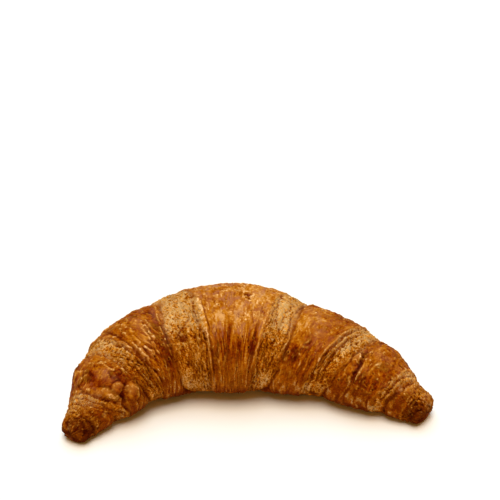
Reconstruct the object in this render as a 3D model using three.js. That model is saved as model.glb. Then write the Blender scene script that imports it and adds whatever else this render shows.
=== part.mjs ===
// A butter croissant: a crescent of laminated dough, rolled up from a triangle and baked.
// It lies on its flat underside, with Z up, X along the line between its two horns and the horns
// turned towards -Y. The origin is the centre of its footprint, on the surface that it rests on.
// Everything is in millimetres and degrees.
//
// A place on the loaf has two coordinates. "Arc" is the distance from the middle of the loaf along
// its bend, negative to the left. "Turn" is the angle round the loaf: 0 faces the outside of the
// bend, 90 is the top, 180 faces the inside of the bend and 270 is the underside.
import * as THREE from "three";

// The bend: how far the middle line runs, and which way it heads at each arc.
const HALF_ARC = 86;
const HEADINGS = [[-86, 56], [-58, 46], [-29, 13.5], [0, -6], [29, -20.5], [58, -34.5], [86, -43]];
const MIDDLE = { x: -2.65, y: 8.95 };

// The thickness: half of the loaf's width at each arc, and its height as a share of its width.
const HALF_WIDTHS = [
  [-86, 6.6], [-77, 10.6], [-68, 15.1], [-58, 17.7], [-43, 20.6], [-29, 23.6], [-14, 25.1], [0, 25.7],
  [14, 24.4], [29, 21.8], [43, 19.4], [58, 16.9], [68, 14.5], [77, 11], [86, 7.9],
];
const HEIGHT_SHARE_MIDDLE = 0.84;
const HEIGHT_SHARE_HORN = 0.92;
const SUNK_SHARE = 0.14;
const HORN_CAP = 6;
const HORN_BLUNTNESS = 2.6;

// The rolled dough. The triangle's point, its tail, is tucked under the front of the loaf. From
// there each cut edge of the triangle winds outwards: [degrees unrolled from the tail, arc].
const TAIL_TURN = 240;
const LEFT_EDGE = [[0, 0], [30, 12.5], [110, 14.8], [180, 19.5], [400, 46.5], [460, 52.5], [540, 55.5],
  [770, 69.5], [860, 76.5], [920, 78.5], [1100, 84]];
const RIGHT_EDGE = [[0, 0], [40, 7.5], [140, 15.5], [210, 20], [400, 35], [500, 48], [560, 52.5],
  [780, 71], [860, 76], [920, 78.5], [1100, 84]];
// How wide the torn, flaky face of each cut edge is, and how far it steps down to the wrap below.
const LEFT_FACE = [[0, 14], [110, 21], [180, 13], [420, 10], [520, 7.5], [800, 5], [900, 4]];
const RIGHT_FACE = [[0, 9], [110, 13], [180, 9.5], [420, 12], [520, 9.5], [800, 5], [900, 4.5]];
const STEP = [[0, 1.3], [200, 1.5], [500, 1.5], [850, 1.2], [1100, 0.5]];
const SIDES = { left: { edge: LEFT_EDGE, face: LEFT_FACE }, right: { edge: RIGHT_EDGE, face: RIGHT_FACE } };
const WINDS = 4;

// Relief of the wraps, as heights and widths on the surface.
const LIP_SHARE = 0.42;
const LIP_WIDTH = 2.2;
const CREASE_DEPTH = 0.7;
const CREASE_WIDTH = 1.6;
const WRAP_CROWN = 0.5;
const SHOULDER = 3;
const LEAF_PITCH = 3.4;
const LEAF_HEIGHT = 0.3;
const FLANK_RIB_PITCH = 5.2;
const FLANK_RIB_HEIGHT = 0.3;
const CRAG_HEIGHT = 0.55;
const CRAG_PITCH = 6;
const UNDERSIDE_SHARE = 0.15;
const HORN_SHARE = 0.35;

// Blisters where steam lifted the glazed skin: arc, turn, length along the bend, width and height.
const BLISTERS = [
  { arc: -66.5, turn: 128, length: 5.5, width: 5, height: 1.1 },
  { arc: -68.5, turn: 98, length: 4, width: 9, height: 1 },
  { arc: -63, turn: 150, length: 5.5, width: 7.5, height: 1.1 },
  { arc: -47, turn: 106, length: 5, width: 7, height: 0.9 },
  { arc: -44, turn: 84, length: 4.5, width: 8, height: 0.8 },
  { arc: -41, turn: 116, length: 3.6, width: 6, height: 0.8 },
  { arc: -54, turn: 192, length: 9, width: 8, height: 1.4 },
  { arc: 7, turn: 62, length: 7, width: 6, height: 0.9 },
  { arc: 33, turn: 96, length: 7, width: 9, height: 0.8 },
  { arc: 62, turn: 104, length: 4.5, width: 10, height: 0.9 },
  { arc: 67, turn: 74, length: 5, width: 7, height: 0.9 },
];

// The mesh: sections along the arc, and points round each. The sections lean outwards with the
// edges that wind round the loaf, by this much at each arc.
const SECTIONS = 146;
const ROUND = 37;
const LEFT_LEAN = [[0, 0], [17, 9], [50, 9], [76, 8], [92, 0]];
const RIGHT_LEAN = [[0, 0], [16, 16], [44, 19], [75, 8], [92, 0]];
const CAP_SHARES = [0.35, 0.65, 0.85, 0.97];
const LEAN_SHARE = [[0, -0.36], [40, -0.5], [140, 0], [240, 0.5], [320, 0], [360, -0.36]];

const radians = THREE.MathUtils.degToRad;

// A smooth curve through [x, y] knots, level beyond the first and the last.
function through(knots, x) {
  const last = knots.length - 1;
  if (x <= knots[0][0]) return knots[0][1];
  if (x >= knots[last][0]) return knots[last][1];
  let i = 0;
  while (x > knots[i + 1][0]) i++;
  const slope = (j) => {
    const before = knots[Math.max(j - 1, 0)];
    const after = knots[Math.min(j + 1, last)];
    return (after[1] - before[1]) / (after[0] - before[0]);
  };
  const width = knots[i + 1][0] - knots[i][0];
  const t = (x - knots[i][0]) / width;
  const rise = t * t * (3 - 2 * t);
  const leaving = t * (1 - t) * (1 - t) * width * slope(i);
  const arriving = t * t * (t - 1) * width * slope(i + 1);
  return knots[i][1] * (1 - rise) + knots[i + 1][1] * rise + leaving + arriving;
}

// A bump of height 1 that fades out at about twice its width.
const bump = (x, width) => Math.exp(-((x / width) ** 2));

// Smooth noise from -1 to 1 on a lattice that closes on itself after `around` cells in y.
function noise(x, y, around, seed) {
  const corner = (i, j) => {
    const v = Math.sin(i * 127.1 + (((j % around) + around) % around) * 311.7 + seed * 74.7) * 43758.5453;
    return 2 * (v - Math.floor(v)) - 1;
  };
  const i = Math.floor(x);
  const j = Math.floor(y);
  const u = THREE.MathUtils.smoothstep(x - i, 0, 1);
  const v = THREE.MathUtils.smoothstep(y - j, 0, 1);
  const near = THREE.MathUtils.lerp(corner(i, j), corner(i + 1, j), u);
  const far = THREE.MathUtils.lerp(corner(i, j + 1), corner(i + 1, j + 1), u);
  return THREE.MathUtils.lerp(near, far, v);
}

// The middle line, walked outwards from the middle of the loaf in short steps.
function bend(arc) {
  const steps = Math.max(1, Math.ceil(Math.abs(arc) * 2));
  const stride = arc / steps;
  const place = { x: MIDDLE.x, y: MIDDLE.y };
  for (let i = 0; i < steps; i++) {
    const heading = radians(through(HEADINGS, (i + 0.5) * stride));
    place.x += Math.cos(heading) * stride;
    place.y += Math.sin(heading) * stride;
  }
  return { ...place, heading: radians(through(HEADINGS, arc)) };
}

// Where the cut edges lie on one side at a turn, from the middle outwards.
function edgesAt(side, turn) {
  const unrolled = THREE.MathUtils.euclideanModulo(TAIL_TURN - turn, 360);
  return Array.from({ length: WINDS }, (_, wind) => {
    const roll = unrolled + 360 * wind;
    return { arc: through(side.edge, roll), face: through(side.face, roll), step: through(STEP, roll) };
  });
}

// How far the rolled layers stand above or below the loaf's plain shape, and how torn the surface is.
function wraps(arc, turn) {
  const out = Math.abs(arc);
  const edges = edgesAt(arc < 0 ? SIDES.left : SIDES.right, turn);
  const passed = edges.filter((edge) => edge.arc <= out);
  if (!passed.length) {
    const left = edgesAt(SIDES.left, turn)[0].arc;
    const right = edgesAt(SIDES.right, turn)[0].arc;
    const across = (2 * (arc + left)) / (left + right) - 1;
    return { height: edges[0].step / 2 + WRAP_CROWN * (1 - across * across), torn: 0, skin: 1 };
  }
  const edge = passed[passed.length - 1];
  const next = edges[passed.length] ?? { arc: HALF_ARC + HORN_CAP, step: 0 };
  const beyond = out - edge.arc;
  const crease = CREASE_DEPTH * bump(beyond - edge.face, CREASE_WIDTH);
  if (beyond < edge.face) {
    const lip = LIP_SHARE * THREE.MathUtils.smoothstep(beyond, 0, LIP_WIDTH);
    const slope = (1 - LIP_SHARE) * (beyond / edge.face);
    const leaf = Math.sin((beyond / LEAF_PITCH) * 2 * Math.PI) * LEAF_HEIGHT;
    const fade = Math.sin((Math.PI * beyond) / edge.face);
    return { height: edge.step * (0.5 - lip - slope) + leaf * fade - crease, torn: fade, skin: 0 };
  }
  const across = Math.min(1, (beyond - edge.face) / Math.max(1, next.arc - edge.arc - edge.face));
  const rise = 1 - (1 - across) ** SHOULDER;
  const crown = WRAP_CROWN * Math.sin(Math.PI * Math.sqrt(across));
  return { height: -edge.step / 2 + ((edge.step + next.step) / 2) * rise + crown - crease, torn: 0, skin: 1 };
}

// The blisters, as soft domes.
function blisters(arc, turn, girth) {
  return BLISTERS.reduce((sum, one) => {
    const along = (arc - one.arc) / one.length;
    const round = (radians(turn - one.turn) * girth) / one.width;
    return sum + one.height * bump(Math.hypot(along, round), 0.6);
  }, 0);
}

// The whole relief at a place: wraps, blisters, ribs that the rising dough stretched into the
// flanks, and crags on the torn faces. It fades out on the underside, which the tray kept flat.
function relief(arc, turn, girth) {
  const { height, torn, skin } = wraps(arc, turn);
  const ribs = noise(arc / FLANK_RIB_PITCH, turn / 60, 6, 3) * FLANK_RIB_HEIGHT * skin;
  const crags = noise(arc / CRAG_PITCH, turn / 20, 18, 7) * CRAG_HEIGHT * (0.3 + 0.7 * torn);
  const below = THREE.MathUtils.smoothstep(-Math.sin(radians(turn)), -0.2, 0.6);
  const slender = 1 - THREE.MathUtils.smoothstep(girth, 5, 15);
  const kept = (1 - (1 - UNDERSIDE_SHARE) * below) * (1 - (1 - HORN_SHARE) * slender);
  return (height + blisters(arc, turn, girth) + ribs + crags) * kept;
}

// One point of the surface. Past the horn's centre the section shrinks to a blunt end.
function surfacePoint(arc, turn) {
  const inner = THREE.MathUtils.clamp(arc, -HALF_ARC, HALF_ARC);
  const past = Math.abs(arc - inner) / HORN_CAP;
  const shrink = Math.sqrt(Math.max(0, 1 - past ** HORN_BLUNTNESS));
  const line = bend(inner);
  const toHorn = (Math.abs(inner) / HALF_ARC) ** 1.5;
  const halfWidth = through(HALF_WIDTHS, inner);
  const halfHeight = halfWidth * THREE.MathUtils.lerp(HEIGHT_SHARE_MIDDLE, HEIGHT_SHARE_HORN, toHorn);
  const angle = radians(turn);
  const out = new THREE.Vector2(Math.cos(angle) / halfWidth, Math.sin(angle) / halfHeight).normalize();
  const lift = relief(arc, turn, halfWidth);
  const across = (halfWidth * Math.cos(angle) + lift * out.x) * shrink;
  const up = (halfHeight * Math.sin(angle) + lift * out.y) * shrink;
  const along = arc - inner;
  return new THREE.Vector3(
    line.x + Math.cos(line.heading) * along - Math.sin(line.heading) * across,
    line.y + Math.sin(line.heading) * along + Math.cos(line.heading) * across,
    Math.max(0, halfHeight * (1 - SUNK_SHARE) + up),
  );
}

// Where the sections stand: even along the arc, and closing up at the blunt ends.
function sectionArcs() {
  const inside = SECTIONS - 2 * CAP_SHARES.length;
  const body = Array.from({ length: inside }, (_, i) => THREE.MathUtils.lerp(-HALF_ARC, HALF_ARC, i / (inside - 1)));
  const right = CAP_SHARES.map((share) => HALF_ARC + share * HORN_CAP);
  return [...right.map((arc) => -arc).reverse(), ...body, ...right];
}

// The arc of a leaning section at a turn.
function leaningArc(arc, turn) {
  const unrolled = THREE.MathUtils.euclideanModulo(TAIL_TURN - turn, 360);
  const lean = through(arc < 0 ? LEFT_LEAN : RIGHT_LEAN, Math.abs(arc)) * through(LEAN_SHARE, unrolled);
  return arc + Math.sign(arc) * lean;
}

function croissantGeometry() {
  const arcs = sectionArcs();
  const turns = Array.from({ length: ROUND }, (_, j) => (360 * j) / ROUND);
  const points = arcs.flatMap((arc) => turns.map((turn) => surfacePoint(leaningArc(arc, turn), turn)));
  const leftEnd = points.push(surfacePoint(-HALF_ARC - HORN_CAP, 0)) - 1;
  const rightEnd = points.push(surfacePoint(HALF_ARC + HORN_CAP, 0)) - 1;
  const faces = [];
  for (let j = 0; j < ROUND; j++) {
    const next = (j + 1) % ROUND;
    for (let i = 0; i < arcs.length - 1; i++) {
      const [a, b] = [i * ROUND + j, i * ROUND + next];
      const [c, d] = [a + ROUND, b + ROUND];
      faces.push(a, b, c, b, d, c);
    }
    const lastRing = (arcs.length - 1) * ROUND;
    faces.push(leftEnd, next, j, rightEnd, lastRing + j, lastRing + next);
  }
  const geometry = new THREE.BufferGeometry().setFromPoints(points);
  geometry.setIndex(faces);
  geometry.computeVertexNormals();
  return geometry;
}

function bakedCrust() {
  return new THREE.MeshStandardMaterial({ color: new THREE.Color(0.62, 0.33, 0.09), roughness: 0.5, metalness: 0 });
}

const croissant = new THREE.Mesh(croissantGeometry(), bakedCrust());
croissant.name = "croissant";

const part = new THREE.Group();
part.add(croissant);

export default part;
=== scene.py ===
"""A butter croissant on a white table, under two wide soft lights.

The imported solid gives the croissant's place and size. The baked crust replaces it: the same rolled
crescent in a far finer mesh, with torn faces, thin sheets of dough, folds, blisters, burst bubbles
and pits.

A place on the loaf has two coordinates. Its arc is the distance in millimetres from the middle of
the loaf along the bend, negative to the left. Its turn is the angle in degrees round the loaf: 0
faces the outside of the bend, 90 is the top, 180 faces the inside of the bend and 270 is below.
"""

import itertools
import logging
from abc import ABC, abstractmethod
from dataclasses import dataclass, field
from enum import Enum

import bpy
import numpy as np
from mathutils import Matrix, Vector

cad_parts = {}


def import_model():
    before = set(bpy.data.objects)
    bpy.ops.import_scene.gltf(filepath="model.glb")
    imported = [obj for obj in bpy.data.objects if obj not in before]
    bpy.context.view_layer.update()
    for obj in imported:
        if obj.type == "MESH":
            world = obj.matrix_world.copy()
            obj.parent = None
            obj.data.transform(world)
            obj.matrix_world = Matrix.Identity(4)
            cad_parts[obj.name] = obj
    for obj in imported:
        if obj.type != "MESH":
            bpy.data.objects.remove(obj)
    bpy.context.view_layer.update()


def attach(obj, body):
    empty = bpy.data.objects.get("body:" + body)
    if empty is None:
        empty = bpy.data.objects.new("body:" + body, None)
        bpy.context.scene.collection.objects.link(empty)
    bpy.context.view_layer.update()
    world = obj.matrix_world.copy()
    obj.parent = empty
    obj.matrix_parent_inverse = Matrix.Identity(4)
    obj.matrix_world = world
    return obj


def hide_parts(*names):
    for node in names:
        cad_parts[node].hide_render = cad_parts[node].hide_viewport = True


log = logging.getLogger("croissant")

Array = np.ndarray
Knots = tuple[tuple[float, float], ...]
Colour = tuple[float, float, float]
Stops = tuple[tuple[float, Colour], ...]
Node = bpy.types.Node
Socket = bpy.types.NodeSocket

MM = 0.001
NODE = "croissant"
BODY = "root"

LOW_BITS = 0xFFFFFFFF
SEED_FACTOR = 0x9E3779B1
CELL_FACTOR = 0x85EBCA6B
LAST_FACTOR = 0xC2B2AE35


def through(knots: Knots, x: Array) -> Array:
    """Follow a smooth curve through knots, level beyond the first and the last.

    Args:
        knots: The points (x, y) that the curve passes, by rising x.
        x: Where to read the curve.

    Returns:
        The curve's height at each x.
    """
    k = np.asarray(knots, float)
    x = np.clip(np.asarray(x, float), k[0, 0], k[-1, 0])
    slope = np.gradient(k[:, 1], k[:, 0])
    slope[1:-1] = (k[2:, 1] - k[:-2, 1]) / (k[2:, 0] - k[:-2, 0])
    i = np.clip(np.searchsorted(k[:, 0], x, side="right") - 1, 0, len(k) - 2)
    width = k[i + 1, 0] - k[i, 0]
    t = (x - k[i, 0]) / width
    rise = t * t * (3 - 2 * t)
    leaving = t * (1 - t) ** 2 * width * slope[i]
    arriving = t * t * (t - 1) * width * slope[i + 1]
    return k[i, 1] * (1 - rise) + k[i + 1, 1] * rise + leaving + arriving


def fade(x: Array, start: float, end: float) -> Array:
    """Return a smooth rise from 0 at start to 1 at end, which may lie below start."""
    t = np.clip((x - start) / (end - start), 0, 1)
    return t * t * (3 - 2 * t)


def bump(x: Array, width: float) -> Array:
    """Return a bump of height 1 at 0 that fades out at about twice its width."""
    return np.exp(-((x / width) ** 2))


def softened(values: Array, passes: int) -> Array:
    """Smooth values that lie in rows and in columns, where the last column meets the first.

    Args:
        values: The values.
        passes: How often they are smoothed.

    Returns:
        The smoothed values.
    """
    for _ in range(passes):
        padded = np.pad(values, ((1, 1), (0, 0)), mode="edge")
        values = (padded[:-2] + 2 * values + padded[2:]) / 4
        values = (np.roll(values, 1, 1) + 2 * values + np.roll(values, -1, 1)) / 4
    return values


@dataclass(frozen=True)
class Grain:
    """Seeded noise, the same in every run.

    Attributes:
        seed: Picks one of many unlike patterns.
    """

    seed: int

    def other(self, shift: int) -> "Grain":
        """Return noise with an unlike pattern, picked by a shift of the seed."""
        return Grain(self.seed + shift)

    def random(self, *cell: Array) -> Array:
        """Draw a random number for each cell of a lattice.

        Args:
            cell: The cells' whole numbers, one array for each dimension.

        Returns:
            An even random number from 0 to 1 for each cell.
        """
        low = np.uint64(LOW_BITS)
        mixed = np.full(np.shape(cell[0]), (self.seed * SEED_FACTOR) & LOW_BITS, np.uint64)
        for axis in cell:
            whole = np.asarray(axis).astype(np.int64).astype(np.uint64) & low
            mixed = ((mixed ^ whole) * np.uint64(CELL_FACTOR)) & low
            mixed ^= mixed >> np.uint64(13)
        mixed = (mixed * np.uint64(LAST_FACTOR)) & low
        mixed ^= mixed >> np.uint64(16)
        return mixed.astype(float) / float(LOW_BITS + 1)

    def smooth(self, *at: Array) -> Array:
        """Draw smooth noise.

        Args:
            at: The places, one array for each dimension, in cells.

        Returns:
            Noise from -1 to 1.
        """
        floors = [np.floor(a) for a in at]
        blends = [fade(a - f, 0, 1) for a, f in zip(at, floors)]
        total = np.zeros(np.shape(at[0]))
        for corner in itertools.product((0, 1), repeat=len(at)):
            weight = np.ones(total.shape)
            for c, blend in zip(corner, blends):
                weight = weight * (blend if c else 1 - blend)
            total += weight * self.random(*[f + c for f, c in zip(floors, corner)])
        return 2 * total - 1

    def fractal(self, *at: Array, octaves: int = 3, gain: float = 0.55) -> Array:
        """Return noise of several sizes, each about half as large as the one before.

        Args:
            at: The places, one array for each dimension, in units of the largest size.
            octaves: How many sizes are added.
            gain: How strong each size is against the one before.

        Returns:
            Noise of about -1 to 1.
        """
        total = np.zeros(np.shape(at[0]))
        strength = 1.0
        for octave in range(octaves):
            scale = 2.13**octave
            moved = [a * scale + 31.7 * octave for a in at]
            total += strength * self.other(101 * octave).smooth(*moved)
            strength *= gain
        return total * (1 - gain) / (1 - gain**octaves) * 1.4

    def ridges(self, *at: Array, octaves: int = 2) -> Array:
        """Return noise whose crests are thin winding ridges, from about 0 to 1."""
        return 1 - np.clip(np.abs(self.fractal(*at, octaves=octaves)) * 2.2, 0, 1)

    def scatter(self, *at: Array) -> tuple[Array, Array]:
        """Scatter one point in each cell of a lattice and find the nearest.

        Args:
            at: The places, one array for each dimension, in cells.

        Returns:
            The distance to the nearest point, and that point's own random number.
        """
        floors = [np.floor(a) for a in at]
        best = np.full(np.shape(at[0]), 9.0)
        chosen = np.zeros(best.shape)
        for step in itertools.product((-1, 0, 1), repeat=len(at)):
            cell = [f + s for f, s in zip(floors, step)]
            square = np.zeros(best.shape)
            for axis, (a, c) in enumerate(zip(at, cell)):
                inside = self.other(7 + axis).random(*cell)
                square += (c + 0.1 + 0.8 * inside - a) ** 2
            nearer = square < best
            best = np.where(nearer, square, best)
            chosen = np.where(nearer, self.other(3).random(*cell), chosen)
        return np.sqrt(best), chosen


class Side(Enum):
    """The two ends of the loaf, by the sign of the arc there."""

    LEFT = -1
    RIGHT = 1


@dataclass(frozen=True)
class Bend:
    """The middle line of the loaf, seen from above.

    Attributes:
        half_arc: How far the line runs to each side of the middle.
        middle: Where the middle of the loaf is.
        headings: Which way the line heads at each arc, in degrees from +X.
        stride: The length of one step along the line.
    """

    half_arc: float = 86
    middle: tuple[float, float] = (-2.65, 8.95)
    headings: Knots = ((-86, 56), (-58, 46), (-29, 13.5), (0, -6), (29, -20.5), (58, -34.5), (86, -43))
    stride: float = 0.5

    def walk(self, arc: Array) -> tuple[Array, Array, Array]:
        """Walk along the line.

        Args:
            arc: Where to stop.

        Returns:
            x, y and the heading in radians at each arc.
        """
        marks = np.arange(-self.half_arc, self.half_arc + self.stride / 2, self.stride)
        heading = np.radians(through(self.headings, marks[1:] - self.stride / 2))
        x = np.concatenate([[0], np.cumsum(np.cos(heading)) * self.stride])
        y = np.concatenate([[0], np.cumsum(np.sin(heading)) * self.stride])
        x += self.middle[0] - np.interp(0, marks, x)
        y += self.middle[1] - np.interp(0, marks, y)
        return np.interp(arc, marks, x), np.interp(arc, marks, y), np.radians(through(self.headings, arc))


@dataclass(frozen=True)
class Girth:
    """How thick the loaf is.

    Attributes:
        half_widths: Half of the width at each arc.
        height_shares: The height over the width in the middle and at the horns.
        sunk_share: How much of the half height is pressed flat below.
        cap: The length of a horn's blunt end.
        bluntness: The power that rounds that end.
    """

    half_widths: Knots = (
        (-92, 5.1), (-86, 6.9), (-77, 10.4), (-68, 15.1), (-58, 17.7), (-43, 20.6), (-29, 23.6),
        (-14, 25.1), (0, 25.7), (14, 24.4), (29, 21.8), (43, 19.4), (58, 16.9), (68, 14.5),
        (77, 11), (86, 7.7), (92, 6.5),
    )
    height_shares: tuple[float, float] = (0.84, 0.92)
    sunk_share: float = 0.14
    cap: float = 5.5
    bluntness: float = 3.0

    @property
    def middle(self) -> float:
        """Half of the width in the middle of the loaf."""
        return float(through(self.half_widths, 0))

    def halves(self, arc: Array, half_arc: float) -> tuple[Array, Array]:
        """Measure the loaf across.

        Args:
            arc: Where to measure it.
            half_arc: The arc of a horn, before its blunt end.

        Returns:
            Half of the width and half of the height at each arc.
        """
        to_horn = (np.abs(arc) / half_arc) ** 1.5
        half_width = through(self.half_widths, arc)
        middle, horn = self.height_shares
        return half_width, half_width * (middle * (1 - to_horn) + horn * to_horn)


@dataclass
class Layering:
    """What the rolled layers do at each point.

    Attributes:
        height: How far they stand above the loaf's plain shape.
        beyond: How far past the cut edge the point lies.
        before: How far short of the next cut edge it lies.
        face: The width of the torn face there.
        wrap: How many cut edges lie between the point and the middle of the loaf.
    """

    height: Array
    beyond: Array
    before: Array
    face: Array
    wrap: Array


@dataclass(frozen=True)
class RolledSheet:
    """The dough triangle, rolled up from its wide end.

    Its point is the tail, tucked under the front of the loaf. From there each cut edge winds
    outwards round the loaf. Tables give a value by the degrees unrolled from the tail.

    Attributes:
        tail: The turn at which the tail lies.
        edges: The arc of each cut edge.
        faces: The width of the torn face beyond each cut edge.
        steps: How far a torn face steps down to the wrap below.
        lip_share: The share of the step that falls at the edge itself.
        lip_width: The width of that fall.
        crease_depth: How deep the crease at the foot of a torn face is.
        crease_width: Half of the width of that crease.
        crown: How much a wrap bulges between its edges.
        shoulder: How sharply a wrap rises from the crease.
        winds: How often an edge can pass the same turn.
    """

    tail: float = 240
    edges: dict[Side, Knots] = field(default_factory=lambda: {
        Side.LEFT: ((0, 0), (30, 12.5), (110, 14.8), (180, 19.5), (400, 46.5), (460, 52.5), (540, 55.5),
                    (770, 69.5), (860, 76.5), (920, 78.5), (1100, 84)),
        Side.RIGHT: ((0, 0), (40, 7.5), (140, 15.5), (210, 20), (400, 35), (500, 48), (560, 52.5),
                     (780, 71), (860, 76), (920, 78.5), (1100, 84)),
    })
    faces: dict[Side, Knots] = field(default_factory=lambda: {
        Side.LEFT: ((0, 14), (110, 21), (180, 13), (420, 10), (520, 7.5), (800, 5), (900, 4)),
        Side.RIGHT: ((0, 9), (110, 13), (180, 9.5), (420, 12), (520, 9.5), (800, 5), (900, 4.5)),
    })
    steps: Knots = ((0, 1.3), (200, 1.5), (500, 1.5), (850, 1.2), (1100, 0.5))
    lip_share: float = 0.42
    lip_width: float = 1.2
    crease_depth: float = 0.7
    crease_width: float = 1.1
    crown: float = 0.5
    shoulder: float = 3
    winds: int = 4

    def unrolled(self, turn: Array) -> Array:
        """Return the degrees from the tail to a turn, from 0 to 360."""
        return np.mod(self.tail - turn, 360)

    def table(self, knots: dict[Side, Knots], arc: Array, turn: Array) -> Array:
        """Read a table on each point's own side.

        Args:
            knots: The table for each side.
            arc: The arc of each point.
            turn: The turn of each point.

        Returns:
            The table's values, one layer for each wind of the edge.
        """
        layers = []
        for wind in range(self.winds):
            roll = self.unrolled(turn) + 360 * wind
            left, right = (through(knots[side], roll) for side in Side)
            layers.append(np.where(arc < 0, left, right))
        return np.stack(layers)

    def layering(self, arc: Array, turn: Array, reach: float) -> Layering:
        """Work out the layers at each point.

        Args:
            arc: The arc of each point.
            turn: The turn of each point.
            reach: The arc of a horn's very end.

        Returns:
            The layering at the points.
        """
        out = np.abs(arc)
        edges = self.table(self.edges, arc, turn)
        faces = self.table(self.faces, arc, turn)
        steps = self.table({side: self.steps for side in Side}, arc, turn)
        wrap = (edges <= out).sum(0)
        inner = np.maximum(wrap - 1, 0)[None]
        outer = np.minimum(wrap, self.winds - 1)[None]
        edge, face, step = (np.take_along_axis(table, inner, 0)[0] for table in (edges, faces, steps))
        last = wrap >= self.winds
        next_edge = np.where(last, reach, np.take_along_axis(edges, outer, 0)[0])
        next_step = np.where(last, 0, np.take_along_axis(steps, outer, 0)[0])
        beyond = out - edge
        crease = self.crease_depth * bump(beyond - face, self.crease_width)
        fall = self.lip_share * fade(beyond, 0, self.lip_width) + (1 - self.lip_share) * beyond / face
        on_face = step * (0.5 - fall) - crease
        across = np.clip((beyond - face) / np.maximum(1, next_edge - edge - face), 0, 1)
        rise = (step + next_step) / 2 * (1 - (1 - across) ** self.shoulder)
        on_skin = -step / 2 + rise + self.crown * np.sin(np.pi * np.sqrt(across)) - crease
        roll = self.unrolled(turn)
        left = through(self.edges[Side.LEFT], roll)
        right = through(self.edges[Side.RIGHT], roll)
        middle = 2 * (arc + left) / np.maximum(left + right, 1) - 1
        on_middle = steps[0] / 2 + self.crown * (1 - middle**2)
        is_middle = wrap == 0
        is_face = (beyond < face) & ~is_middle
        return Layering(
            height=np.where(is_middle, on_middle, np.where(is_face, on_face, on_skin)),
            beyond=np.where(is_middle, -99, beyond),
            before=next_edge - out,
            face=face,
            wrap=wrap,
        )


@dataclass(frozen=True)
class Mark:
    """One round spot on the surface.

    Attributes:
        arc: The arc of its middle.
        turn: The turn of its middle.
        length: Its reach along the bend, in millimetres.
        width: Its reach round the loaf, in millimetres.
        amount: Its height in millimetres, or how strong it is.
    """

    arc: float
    turn: float
    length: float
    width: float
    amount: float

    def distance(self, place: "Place") -> Array:
        """Return the distance from the middle of the mark, 1 at its reach."""
        around = np.radians(place.turn - self.turn) * place.girth
        return np.hypot((place.arc - self.arc) / self.length, around / self.width)


@dataclass(frozen=True)
class Strand:
    """A long thin fold, roll or groove that runs over the surface.

    Attributes:
        path: The places that it passes, each an arc and a turn.
        width: Half of its width, in millimetres.
        height: How high it stands, or how deep it lies where it is negative.
        pale: How much lighter than the rest its crest is, partly dry dough and partly painted highlight.
    """

    path: Knots
    width: float
    height: float
    pale: float = 0.0

    def nearness(self, place: "Place") -> Array:
        """Find how near each point lies to the strand.

        Args:
            place: The points.

        Returns:
            The nearness, 1 on the strand and 0 well off it, fading towards its two ends.
        """
        count = len(self.path)
        share = np.linspace(0, count - 1, 4 * count)
        arcs = through(tuple(enumerate(p[0] for p in self.path)), share)
        turns = through(tuple(enumerate(p[1] for p in self.path)), share)
        room = 4 * self.width + 1
        near = (place.arc > arcs.min() - room) & (place.arc < arcs.max() + room)
        near &= (place.turn > turns.min() - 30) & (place.turn < turns.max() + 30)
        arc, turn, girth = place.arc[near], place.turn[near], place.girth[near]
        best = np.full(arc.shape, 99.0)
        where = np.zeros(arc.shape)
        for i in range(len(share) - 1):
            step_along = arcs[i + 1] - arcs[i]
            step_round = np.radians(turns[i + 1] - turns[i]) * girth
            along = arc - arcs[i]
            around = np.radians(turn - turns[i]) * girth
            t = np.clip((along * step_along + around * step_round) / (step_along**2 + step_round**2), 0, 1)
            gap = np.hypot(along - t * step_along, around - t * step_round)
            where = np.where(gap < best, i + t, where)
            best = np.minimum(best, gap)
        where = where / (len(share) - 1)
        found = np.zeros(place.arc.shape)
        found[near] = bump(best, self.width) * fade(where, -0.05, 0.14) * fade(where, 1.05, 0.86)
        return found


@dataclass
class Place:
    """Points of the surface before any relief.

    Attributes:
        arc: The arc of each point.
        turn: The turn of each point, from -90 to 270, so that nothing breaks off where it shows.
        row: The arc at which the point's leaning section crosses the middle of its lean.
        spot: The place of each point on the plain loaf, in millimetres.
        girth: Half of the loaf's width there.
    """

    arc: Array
    turn: Array
    row: Array
    spot: Array
    girth: Array

    def axes(self, size: float = 1.0) -> tuple[Array, Array, Array]:
        """Return x, y and z in units of a size in millimetres."""
        return self.spot[..., 0] / size, self.spot[..., 1] / size, self.spot[..., 2] / size

    def past(self, start: float, end: float) -> Array:
        """Return a smooth rise from 0 at one turn to 1 at another."""
        return fade(self.turn, start, end)

    def sided(self, left: float, right: float) -> Array:
        """Return one number on the loaf's left half and another on its right half."""
        return np.where(self.arc < 0, left, right)

    def wandered(self, grain: Grain, size: float, reach: float) -> "Place":
        """Return the same points with places that wander, so that what is drawn on them looks grown.

        Args:
            grain: The noise that moves them.
            size: The size of the waves, in millimetres.
            reach: How far a point may seem to move, in millimetres.

        Returns:
            The points with moved places.
        """
        x, y, z = self.axes(size)
        moves = [reach * grain.other(shift).fractal(x, y, z, octaves=2) for shift in (1, 2, 3, 4, 5)]
        return Place(
            arc=self.arc + moves[0],
            turn=self.turn + np.degrees(moves[1] / self.girth),
            row=self.row + moves[0],
            spot=self.spot + np.stack(moves[2:], -1),
            girth=self.girth,
        )


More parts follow.
